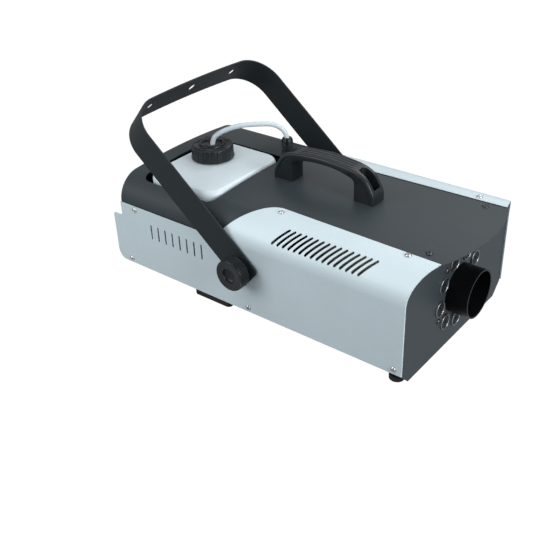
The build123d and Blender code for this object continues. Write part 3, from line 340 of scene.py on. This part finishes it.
# mesh helpers
def placeOn(point, direction):
    # a matrix that puts z = 0 at a point and turns the z axis along a direction
    turn = Vector(direction).to_track_quat("Z", "Y").to_matrix().to_4x4()
    return Matrix.Translation(Vector(point)) @ turn


def lathe(bm, profile, place=Matrix(), steps=48, closed=False):
    # profile is (radius, height) pairs, turned about the z axis and then put in place
    points = [bm.verts.new((radius, 0, height)) for radius, height in profile]
    edges = [bm.edges.new(pair) for pair in zip(points, points[1:])]
    if closed:
        edges.append(bm.edges.new((points[-1], points[0])))
    before = set(bm.verts)
    bmesh.ops.spin(bm, geom=points + edges, cent=(0, 0, 0), axis=(0, 0, 1), angle=2 * math.pi,
                   steps=steps, use_merge=True)
    made = points + [v for v in bm.verts if v not in before]
    bmesh.ops.remove_doubles(bm, verts=made, dist=weld)
    made = [v for v in made if v.is_valid]
    bmesh.ops.transform(bm, matrix=place, verts=made)
    return made


def roundAxis(vert, steps):
    # how far a turned vertex is from the z axis, and which of the steps it stands on
    turn = math.degrees(math.atan2(vert.co.y, vert.co.x)) % 360
    return vert.co.xy.length, round(turn / 360 * steps) % steps


def bevelEdges(bm, edges, width, segments):
    bmesh.ops.bevel(bm, geom=edges, offset=width, segments=segments, profile=0.5,
                    affect="EDGES", clamp_overlap=True, material=-1)


def bar(bm, size, centre):
    bmesh.ops.create_cube(bm, size=1, matrix=Matrix.Translation(centre) @ Matrix.Diagonal((*size, 1)))


def prism(bm, sides, radius, low, high, place):
    middle = place @ Matrix.Translation((0, 0, (low + high) / 2))
    bmesh.ops.create_cone(bm, cap_ends=True, segments=sides, radius1=radius, radius2=radius,
                          depth=high - low, matrix=middle)


def rise(edge):
    # how far apart in height an edge's ends are
    return abs(edge.verts[0].co.z - edge.verts[1].co.z)


def roundedBlock(size, corner, edge, cornerSteps, edgeSteps):
    # a block about the origin with rounded upright corners and rounded top and bottom edges
    bm = bmesh.new()
    bar(bm, size, (0, 0, 0))
    bevelEdges(bm, [e for e in bm.edges if rise(e) > 0.1], corner, cornerSteps)
    bevelEdges(bm, [e for e in bm.edges if rise(e) < 0.001], edge, edgeSteps)
    return bm


def toMesh(bm, name):
    bmesh.ops.remove_doubles(bm, verts=bm.verts, dist=weld)
    bmesh.ops.recalc_face_normals(bm, faces=bm.faces)
    bmesh.ops.scale(bm, vec=(mm, mm, mm), verts=bm.verts)
    mesh = bpy.data.meshes.new(name)
    bm.to_mesh(mesh)
    bm.free()
    return mesh


def addPiece(source, name, node, angle=38, rounding=0.0):
    # puts a piece in the place of a CAD node, on its body and with its finish
    mesh = source if isinstance(source, bpy.types.Mesh) else toMesh(source, name)
    mesh.shade_smooth()
    mesh.set_sharp_from_angle(angle=math.radians(angle))
    piece = bpy.data.objects.new(name, mesh)
    scene.collection.objects.link(piece)
    mesh.materials.append(finish[slotOf[node]])
    if rounding:
        edge = piece.modifiers.new("softEdge", "BEVEL")
        edge.width = rounding * mm
        edge.segments = 2
        edge.limit_method = "ANGLE"
        edge.angle_limit = math.radians(angle)
        edge.harden_normals = True
        edge.use_clamp_overlap = False
    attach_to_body(piece, bodyOf[node])
    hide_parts(node)


def carve(mesh, cutter):
    # takes the cutter's shape out of the mesh with one exact boolean, and gives back a new mesh
    work = bpy.data.objects.new("work", mesh)
    tool = bpy.data.objects.new("tool", cutter)
    for item in (work, tool):
        scene.collection.objects.link(item)
    cut = work.modifiers.new("cut", "BOOLEAN")
    cut.object = tool
    cut.operation = "DIFFERENCE"
    cut.solver = "EXACT"
    graph = bpy.context.evaluated_depsgraph_get()
    result = bpy.data.meshes.new_from_object(work.evaluated_get(graph))
    for item in (work, tool):
        bpy.data.objects.remove(item)
    for item in (mesh, cutter):
        bpy.data.meshes.remove(item)
    return result


def nodeMesh(node):
    # a merged copy of a CAD node, in millimetres
    bm = bmesh.new()
    bm.from_mesh(frame["nodes"][node].data)
    bmesh.ops.scale(bm, vec=(1 / mm, 1 / mm, 1 / mm), verts=bm.verts)
    bmesh.ops.remove_doubles(bm, verts=bm.verts, dist=weld)
    return bm


def solidBoxes(node):
    # the two corners of each separate solid of a CAD node, in millimetres and in the node's own order
    bm = nodeMesh(node)
    seen = set()
    boxes = []
    for start in bm.verts:
        if start in seen:
            continue
        island = set()
        front = [start]
        while front:
            vert = front.pop()
            if vert not in island:
                island.add(vert)
                front.extend(e.other_vert(vert) for e in vert.link_edges)
        seen |= island
        sides = [[vert.co[axis] for vert in island] for axis in range(3)]
        boxes.append((Vector(map(min, sides)), Vector(map(max, sides))))
    bm.free()
    return boxes


def curvePoints(controls):
    # points on a smooth curve drawn by its control points
    curve = bpy.data.curves.new("outline", "CURVE")
    curve.dimensions = "3D"
    line = curve.splines.new("NURBS")
    line.points.add(len(controls) - 1)
    for point, (x, z) in zip(line.points, controls):
        point.co = (x, 0, z, 1)
    line.order_u = 3
    line.use_endpoint_u = True
    line.resolution_u = 10
    work = bpy.data.objects.new("outline", curve)
    scene.collection.objects.link(work)
    mesh = bpy.data.meshes.new_from_object(work)
    points = [vert.co.copy() for vert in mesh.vertices]
    bpy.data.objects.remove(work)
    bpy.data.meshes.remove(mesh)
    return points


def along(points, share):
    # the point at a share of a line's length
    runs = [(b - a).length for a, b in zip(points, points[1:])]
    left = share * sum(runs)
    for start, end, run in zip(points, points[1:], runs):
        if left <= run:
            return start.lerp(end, left / run)
        left -= run
    return points[-1].copy()


def millimetres(corner):
    return Vector(corner) / mm


# suction hose
hose = {
    "radius": 3.5,
    "route": [(-167.2, -12.0, 178.0), (-167.2, -12.0, 193.0), (-155.67, -4.2, 204.0),
              (-135.27, 9.6, 213.0), (-112.21, 25.2, 215.0), (-94.47, 37.2, 215.37),
              (-83.38, 44.7, 207.87), (-78.5, 48.0, 196.77), (-78.5, 48.0, 184.57)],
}


def addHose():
    curve = bpy.data.curves.new("suctionHose", "CURVE")
    curve.dimensions = "3D"
    line = curve.splines.new("NURBS")
    line.points.add(len(hose["route"]) - 1)
    for point, place in zip(line.points, hose["route"]):
        point.co = (*(Vector(place) * mm), 1)
    line.order_u = 3
    line.use_endpoint_u = True
    line.resolution_u = 12
    curve.bevel_depth = hose["radius"] * mm
    curve.bevel_resolution = 6
    curve.use_fill_caps = True
    piece = bpy.data.objects.new("suctionHose", curve)
    scene.collection.objects.link(piece)
    curve.materials.append(finish["hose_plastic"])
    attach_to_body(piece, "case")
    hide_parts("suction_hose")


addHose()
print("hose laid")


# tank, its cap and the gland
tankLook = {
    "corner": 24, "edge": 10, "crown": 1.6,
    "neck": 15.9,  # how far the neck's rim is over the tank's top
}
capLook = {"steps": 160, "grooves": 20, "grooveDepth": 0.7, "lugs": 6, "lugSteps": 16, "lugHeight": 0.7}
glandLook = {
    "hex": 9.3, "hexHeight": 13, "shank": 9,
    "collar": [(0, -9), (6, -9), (6, -0.1), (9.2, 0), (9.2, 1.4), (8.4, 1.9), (0, 1.9)],
    "throat": [(0, 10.8), (7.4, 11.3), (6.6, 12.2), (6.0, 12.6), (6.0, 13.2), (5.6, 13.4), (5.6, 18),
               (0, 18)],
    "steps": 96, "ribSteps": 8, "ribShare": 0.945, "claws": 6, "slotRadius": 4.6,
}


def buildTank():
    low, high = (millimetres(c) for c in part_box("tank"))
    top = high.z - tankLook["neck"]
    centre = Vector(((low.x + high.x) / 2, (low.y + high.y) / 2, (low.z + top) / 2))
    size = (high.x - low.x, high.y - low.y, top - low.z)
    bm = roundedBlock(size, tankLook["corner"], tankLook["edge"], 10, 7)
    longEdges = [e for e in bm.edges if e.calc_length() > 60]
    bmesh.ops.subdivide_edges(bm, edges=longEdges, cuts=9, use_grid_fill=True)
    # the blown top stands a little higher in the middle
    for vert in bm.verts:
        out = Vector((vert.co.x / size[0] * 2, vert.co.y / size[1] * 2, 0))
        room = max(0.0, 1 - out.x**4) * max(0.0, 1 - out.y**4)
        if vert.co.z > size[2] / 2 - 0.5:
            vert.co.z += tankLook["crown"] * (room - 1)
    bmesh.ops.translate(bm, vec=centre, verts=bm.verts)
    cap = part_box("tank_cap")
    capCentre = (millimetres(cap[0]) + millimetres(cap[1])) / 2
    lathe(bm, [(27.5, top - 1), (27.5, top + 0.6), (26.4, top + 1.6), (26, top + 2.4), (26, high.z - 0.4),
               (25.6, high.z), (23, high.z)], Matrix.Translation((capCentre.x, capCentre.y, 0)), 64)
    return bm


def buildCap():
    low, high = (millimetres(c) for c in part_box("tank_cap"))
    tall = high.z - low.z
    profile = [(26.6, 0.0), (30.4, 0.0), (30.8, 0.4), (30.8, 2.2), (30.1, 2.8), (30.1, 6.0),
               (30.1, 16.4), (29.7, 18.2), (28.4, 19.3), (27.2, 19.6), (22.0, 19.6), (21.2, 19.1),
               (19.0, 19.1), (18.6, 19.7), (18.4, tall - 0.3), (18.0, tall), (15.4, tall),
               (15.0, tall - 0.4), (14.6, 18.7), (13.8, 18.3), (9.6, 18.3), (9.2, 18.9), (7.6, 18.9),
               (7.2, 18.3), (4.2, 17.9), (4.2, 16.4), (26.6, 16.4)]
    steps = capLook["steps"]
    bm = bmesh.new()
    # the wall over the flange is grooved, and low lugs stand on the ring round the top
    for vert in lathe(bm, profile, Matrix(), steps, closed=True):
        radius, count = roundAxis(vert, steps)
        inGroove = count % (steps // capLook["grooves"]) == 0
        onLug = count % (steps // capLook["lugs"]) < capLook["lugSteps"]
        if inGroove and radius > 28 and vert.co.z > 2.5:
            vert.co.xy *= 1 - capLook["grooveDepth"] / radius
        if onLug and 21.5 < radius < 28 and vert.co.z > 19:
            vert.co.z += capLook["lugHeight"]
    bmesh.ops.translate(bm, vec=((low.x + high.x) / 2, (low.y + high.y) / 2, low.z), verts=bm.verts)
    return bm


def buildGlandBody():
    low, high = (millimetres(c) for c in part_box("gland_body"))
    centre = Matrix.Translation(((low.x + high.x) / 2, (low.y + high.y) / 2, low.z + glandLook["shank"]))
    bm = bmesh.new()
    prism(bm, 6, glandLook["hex"], 2.0, glandLook["hexHeight"] - 1.6, centre)
    bevelEdges(bm, [e for e in bm.edges if e.calc_length() < 30], 0.8, 3)
    lathe(bm, glandLook["collar"], centre)
    lathe(bm, glandLook["throat"], centre)
    return bm


def buildGlandNut():
    low, high = (millimetres(c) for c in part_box("gland_nut"))
    centre = Matrix.Translation(((low.x + high.x) / 2, (low.y + high.y) / 2, low.z))
    tall = high.z - low.z
    steps = glandLook["steps"]
    bm = bmesh.new()
    profile = [(6.1, 0), (8.1, 0), (8.5, 0.5), (8.5, 8.2), (8.3, 8.8), (8.2, 9.4), (8.1, 11.6),
               (7.6, tall - 2.6), (6.8, tall - 1.1), (5.9, tall - 0.3), (5.2, tall), (3.9, tall),
               (3.9, tall - 5), (6.1, tall - 8)]
    # the lower part is ribbed, and the top is slit into claws
    for vert in lathe(bm, profile, Matrix(), steps, closed=True):
        radius, count = roundAxis(vert, steps)
        betweenRibs = count % glandLook["ribSteps"] in (0, glandLook["ribSteps"] - 1)
        betweenClaws = count % (steps // glandLook["claws"]) in (0, 1, 2)
        if betweenRibs and radius > 8.4:
            vert.co.xy *= glandLook["ribShare"]
        if betweenClaws and radius > 4.5 and vert.co.z > 9.0:
            vert.co.xy *= glandLook["slotRadius"] / radius
    bmesh.ops.transform(bm, matrix=centre, verts=bm.verts)
    return bm


addPiece(buildTank(), "blownTank", "tank", angle=50)
addPiece(buildCap(), "ribbedCap", "tank_cap")
addPiece(buildGlandBody(), "glandBody", "gland_body")
addPiece(buildGlandNut(), "glandNut", "gland_nut")
print("tank, cap and gland built")


# yoke and knobs
yokeLook = {
    "pivot": (-16.3, 0, 93.5), "tilt": 49.8, "width": 42, "wall": 2.5, "half": 136.5, "reach": 255,
    "bend": 47.5, "bendSteps": 28, "bowRadius": 1950, "bowSteps": 24,
    "armSteps": 4, "tail": 20, "tailCorner": 8,
    "holes": [(-84, 5.5), (0, 6.25), (84, 5.5)], "studHole": 5.05, "edge": 0.45,
}
knobLook = {"radius": 21.5, "face": 159.15, "wheel": 139.15, "ribs": 50, "ribSteps": 4, "ribDepth": 1.3}


def yokeFrame():
    # the yoke's own plane: x across the machine, y out along the arms, z across the strip
    lean = math.radians(yokeLook["tilt"])
    arm = Vector((-math.sin(lean), 0, math.cos(lean)))
    side = Vector((math.cos(lean), 0, math.sin(lean)))
    turn = Matrix((Vector((0, 1, 0)), arm, side)).transposed().to_4x4()
    return Matrix.Translation(yokeLook["pivot"]) @ turn


def buildYoke():
    # the strip's middle edge is drawn flat in the yoke's own plane, arm, bend, bow, bend and arm
    y = yokeLook
    half = y["width"] / 2
    inner = y["bowRadius"] - y["bend"]
    bowCentre = Vector((0, y["reach"] - y["bowRadius"], 0))
    bendCentre = Vector((y["half"] - y["bend"], 0, 0))
    across = math.asin(bendCentre.x / inner)
    bendCentre.y = y["reach"] - y["bowRadius"] + inner * math.cos(across)
    otherBend = (-bendCentre.x, bendCentre.y, 0)
    armStep = (bendCentre.y + y["tail"]) / y["armSteps"]
    bm = bmesh.new()

    def pull(edge, move):
        for count in range(y["armSteps"]):
            made = bmesh.ops.extrude_edge_only(bm, edges=[edge])["geom"]
            ends = [v for v in made if isinstance(v, bmesh.types.BMVert)]
            bmesh.ops.translate(bm, vec=move, verts=ends)
            edge = [e for e in made if isinstance(e, bmesh.types.BMEdge)][0]
        return edge

    def turnAbout(edge, centre, angle, steps):
        geom = [edge, *edge.verts]
        made = bmesh.ops.spin(bm, geom=geom, cent=centre, axis=(0, 0, 1), angle=angle, steps=steps)
        return [e for e in made["geom_last"] if isinstance(e, bmesh.types.BMEdge)][0]

    edge = bm.edges.new([bm.verts.new((y["half"], -y["tail"], z)) for z in (-half, half)])
    edge = pull(edge, (0, armStep, 0))
    edge = turnAbout(edge, bendCentre, math.pi / 2 - across, y["bendSteps"])
    edge = turnAbout(edge, bowCentre, 2 * across, y["bowSteps"])
    edge = turnAbout(edge, otherBend, math.pi / 2 - across, y["bendSteps"])
    pull(edge, (0, -armStep, 0))
    bmesh.ops.remove_doubles(bm, verts=bm.verts, dist=0.001)
    tails = [v for v in bm.verts if abs(v.co.y + y["tail"]) < 0.01]
    bmesh.ops.bevel(bm, geom=tails, offset=y["tailCorner"], segments=8, profile=0.5,
                    affect="VERTICES", material=-1)
    bmesh.ops.recalc_face_normals(bm, faces=bm.faces)
    # the wall is added on the inner side
    topFace = max(bm.faces, key=lambda f: f.calc_center_median().y)
    wall = y["wall"] if topFace.normal.y > 0 else -y["wall"]
    bmesh.ops.solidify(bm, geom=bm.faces[:], thickness=wall)
    bmesh.ops.transform(bm, matrix=yokeFrame(), verts=bm.verts)
    strip = toMesh(bm, "yokeStrip")

    cut = bmesh.new()
    for x, radius in y["holes"]:
        hole = yokeFrame() @ placeOn((x, y["reach"], 0), (0, 1, 0))
        prism(cut, 40, radius, -12, 12, hole)
    prism(cut, 40, y["studHole"], -150, 150, placeOn(y["pivot"], (0, 1, 0)))
    return carve(strip, toMesh(cut, "yokeHoles"))


def buildKnob():
    # turned about the stud, from the yoke outwards; the grip is ribbed all round
    k = knobLook
    steps = k["ribs"] * k["ribSteps"]
    r = k["radius"]
    long = k["face"] - k["wheel"]
    bm = bmesh.new()
    # stud, hub and rim, then the face with its bowl
    profile = [(0, -21), (5, -21), (5, -2.5), (13.6, -2.5), (14, -2.1), (14, 4),
               (19.6, 4), (20.8, 4.4), (r, 5.2), (r, 10), (r, long - 2.2),
               (r - 0.5, long - 0.9), (r - 1.5, long - 0.1), (r - 2.4, long), (r - 2.8, long - 0.4),
               (r - 3.4, long - 0.5), (10.9, long - 0.5), (10.4, long - 0.7), (10.1, long - 1.3),
               (9.6, long - 3.6), (8.4, long - 4.4), (6.2, long - 5.2), (3.4, long - 5.8),
               (0, long - 6.0)]
    for vert in lathe(bm, profile, Matrix(), steps):
        radius, count = roundAxis(vert, steps)
        betweenRibs = count % k["ribSteps"] in (0, 1)
        if betweenRibs and radius > r - 1 and 5 < vert.co.z < long - 0.7:
            vert.co.xy *= 1 - k["ribDepth"] / r
    place = placeOn((yokeLook["pivot"][0], -k["wheel"], yokeLook["pivot"][2]), (0, -1, 0))
    bmesh.ops.transform(bm, matrix=place, verts=bm.verts)
    return bm


addPiece(buildYoke(), "yokeStrip", "yoke", angle=30, rounding=yokeLook["edge"])
rightKnob = buildKnob()
leftKnob = rightKnob.copy()
bmesh.ops.scale(leftKnob, vec=(1, -1, 1), verts=leftKnob.verts)
addPiece(rightKnob, "rightKnobGrip", "right_knob", angle=30)
addPiece(leftKnob, "leftKnobGrip", "left_knob", angle=30)
print("yoke and knobs built")


# carry handle
handleLook = {
    "blank": 10, "steps": 60,  # the straight bar it is bent from: its depth and how often it is divided
    "length": 158, "height": 46, "width": 28, "strap": 8.5, "foot": 30, "footShare": 0.42,
    "rimRound": 3.2, "rim": 5.2,
    "grown": 6,  # what lies deeper in the blank is measured from the underside
    "footInset": 1.3, "footFrom": 14, "footFade": 8,
    "ridges": [-8.7, -2.9, 2.9, 8.7], "ridgeHalf": 1.7, "ridgeDepth": 1.2, "ridgeEnd": 46, "ridgeFade": 8,
    "well": (25, 15, 40), "wellPlace": 63.5, "wellFloor": 7, "wellRound": 6.0, "edge": 0.4,
}


def handleLines():
    # the left half of the handle's side view: its outer line and the line round the grip
    h = handleLook
    half = h["length"] / 2
    top = h["height"]
    inner = half - h["foot"]
    under = top - h["strap"]
    outer = [(-half, 0), (-half - 0.5, 12), (-half + 4, top - 25), (-half + 12, top - 12.5),
             (-half + 27, top - 4.5), (-20, top - 0.6), (0, top + 0.2)]
    leg = [(-inner, 0), (-inner, under - 13), (-inner + 0.5, under - 9.5), (-inner + 4, under - 7.2)]
    arch = [(-inner + 4, under - 7.2), (-inner + 18, under - 2.2), (-14, under), (0, under + 0.1)]
    return curvePoints(outer), curvePoints(leg), curvePoints(arch)


def buildHandle():
    # a straight bar, 1 long and with its top at z 0, is divided and then bent between the two lines
    h = handleLook
    outer, leg, arch = handleLines()
    bm = bmesh.new()
    bar(bm, (1, h["width"], h["blank"]), (0.5, 0, -h["blank"] / 2))
    rims = [e for e in bm.edges if abs(e.verts[0].co.x - e.verts[1].co.x) > 0.5]
    for upper, width, segments in ((True, h["rimRound"], 6), (False, 1.0, 2)):
        picked = [e for e in rims if e.is_valid and (e.verts[0].co.z > -1) == upper]
        bevelEdges(bm, picked, width, segments)
    cuts = [((count / h["steps"], 0, 0), (1, 0, 0)) for count in range(1, h["steps"])]
    for y in h["ridges"]:
        cuts += [((0, y + shift * h["ridgeHalf"], 0), (0, 1, 0)) for shift in (-1, -0.4, 0.4, 1)]
    cuts += [((0, 0, -h["rim"]), (0, 0, 1)), ((0, 0, -h["rim"] - 0.7), (0, 0, 1))]
    for place, normal in cuts:
        everything = bm.verts[:] + bm.edges[:] + bm.faces[:]
        bmesh.ops.bisect_plane(bm, geom=everything, plane_co=place, plane_no=normal)
    for vert in bm.verts:
        side = -1 if vert.co.x < 0.5 else 1
        share = 2 * min(vert.co.x, 1 - vert.co.x)
        depth = -vert.co.z
        over = along(outer, share)
        if share < h["footShare"]:
            under = along(leg, share / h["footShare"])
        else:
            under = along(arch, (share - h["footShare"]) / (1 - h["footShare"]))
        thick = (under - over).length
        # grooves run along the top, and the feet are drawn in under the rim
        inRidge = any(abs(vert.co.y - y) < 0.5 * h["ridgeHalf"] for y in h["ridges"])
        if depth < 0.01 and inRidge:
            depth += h["ridgeDepth"] * min(1.0, max(0.0, (h["ridgeEnd"] + over.x) / h["ridgeFade"]))
        if depth > h["rim"] + 0.5:
            flare = min(1.0, max(0.0, (thick - h["footFrom"]) / h["footFade"]))
            vert.co.y -= math.copysign(h["footInset"] * flare, vert.co.y)
        if depth > h["grown"]:
            depth = thick - (h["blank"] - depth)
        place = over.lerp(under, depth / thick)
        vert.co.x = side * -place.x
        vert.co.z = place.z
    low, high = (millimetres(c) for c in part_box("handle"))
    centre = ((low.x + high.x) / 2, 0, low.z)
    bmesh.ops.translate(bm, vec=centre, verts=bm.verts)
    solid = toMesh(bm, "handleSolid")

    cut = bmesh.new()
    for side in (-1, 1):
        well = bmesh.new()
        bar(well, h["well"], (0, 0, h["well"][2] / 2))
        for inward, width in ((True, h["wellRound"]), (False, 1.5)):
            upright = [e for e in well.edges if rise(e) > 10 and (e.verts[0].co.x * side < 0) == inward]
            bevelEdges(well, upright, width, 6)
        place = (centre[0] + side * h["wellPlace"], 0, low.z + h["wellFloor"])
        bmesh.ops.translate(well, vec=place, verts=well.verts)
        part = bpy.data.meshes.new("well")
        well.to_mesh(part)
        well.free()
        cut.from_mesh(part)
        bpy.data.meshes.remove(part)
    return carve(solid, toMesh(cut, "wells"))


addPiece(buildHandle(), "archHandle", "handle", angle=32, rounding=handleLook["edge"])
print("handle built")


# screws, in the places of the CAD ones
screwLook = {
    "head": 3.9, "height": 2.1, "seat": 1.5, "shank": 1.5, "recess": 2.1, "slot": 1.0, "slotDepth": 1.1,
    "turn": 37, "turnStep": 61,  # no two screws next to each other are turned alike
}


def addScrew(bm, foot, direction, length, turn):
    # a cross-recessed pan head on a plain shank
    k = screwLook
    top = k["height"]
    profile = [(0, top), (0.5, top), (1.0, top), (1.5, top - 0.02), (k["recess"], top - 0.05),
               (k["recess"] + 0.15, top - 0.07), (k["head"] * 0.72, top * 0.84),
               (k["head"] * 0.9, top * 0.55), (k["head"], top * 0.2), (k["head"], 0),
               (k["shank"], 0), (k["shank"], -length), (0, -length)]
    made = lathe(bm, profile, Matrix(), 32)
    for vert in made:
        inCross = min(abs(vert.co.x), abs(vert.co.y)) < k["slot"] / 2
        if inCross and vert.co.z > top * 0.9 and vert.co.xy.length < k["recess"] + 0.05:
            vert.co.z -= k["slotDepth"]
    bmesh.ops.transform(bm, matrix=placeOn(foot, direction) @ Matrix.Rotation(turn, 4, "Z"), verts=made)


def addScrews(node, name):
    bm = bmesh.new()
    for count, (low, high) in enumerate(solidBoxes(node)):
        size = high - low
        axis = max(range(3), key=lambda i: size[i])
        middle = (low + high) / 2
        direction = Vector((0, 0, 0))
        # the head is at the outer end: up on the top, outwards on the sides
        direction[axis] = 1 if axis == 2 or middle[axis] > 0 else -1
        foot = middle.copy()
        end = high[axis] if direction[axis] > 0 else low[axis]
        foot[axis] = end - direction[axis] * screwLook["seat"]
        turn = math.radians(screwLook["turn"] + screwLook["turnStep"] * count % 90)
        addScrew(bm, foot, direction, size[axis] - screwLook["seat"], turn)
    addPiece(bm, name, node, angle=35)


addScrews("case_screws", "panelScrews")
addScrews("cover_screws", "hoodScrews")
addScrews("front_screws", "plateScrews")


# lamps round the nozzle
lampLook = {
    "count": 9, "circle": 46, "face": 221, "axisHeight": 83, "segments": 44,
    "bezel": [(10.5, 0.05), (10.5, 1.4), (10.3, 1.9), (9.9, 2.2), (9.5, 2.2), (9.15, 1.9), (9.0, 1.3),
              (8.4, 1.1), (7.0, 1.0), (6.6, 1.1), (6.3, 1.0), (6.25, -7.0), (7.6, -7.0), (7.6, 0.05)],
    "lens": [(0, -0.8), (1.7, -0.8), (1.9, 1.2), (2.2, 1.5), (2.6, 1.6), (5.0, 1.5), (8.2, 1.35),
             (8.85, 1.25), (8.85, 1.12), (6.0, 1.12), (6.0, -1.2), (0, -1.2)],
}


def lampRing(profile, closed):
    k = lampLook
    bm = bmesh.new()
    for count in range(k["count"]):
        turn = math.radians(-90 + 360 / k["count"] * count)
        place = (k["face"], k["circle"] * math.cos(turn), k["axisHeight"] + k["circle"] * math.sin(turn))
        lathe(bm, profile, placeOn(place, (1, 0, 0)), k["segments"], closed)
    return bm


addPiece(lampRing(lampLook["bezel"], True), "lampBezels", "led_bezels", angle=25)
addPiece(lampRing(lampLook["lens"], False), "lampLenses", "led_lenses", angle=25)
print("screws and lamps built")


# these fittings and inner parts keep their CAD form and get broken edges
softened = {
    # node: edge width
    "mains_inlet": 0.3, "power_switch": 0.25, "power_rocker": 0.3, "fuse_holder": 0.3, "fuse_cap": 0.3,
    "remote_socket": 0.25, "front_feet": 0.6, "rear_feet": 0.8,
    "heater_block": 0.8, "heater_brackets": 0.3, "transformer_core": 0.3, "pump_coil": 0.5,
}
for nodeName, width in softened.items():
    addPiece(nodeMesh(nodeName), nodeName + "Soft", nodeName, angle=30, rounding=width)
print("fittings softened:", len(softened))
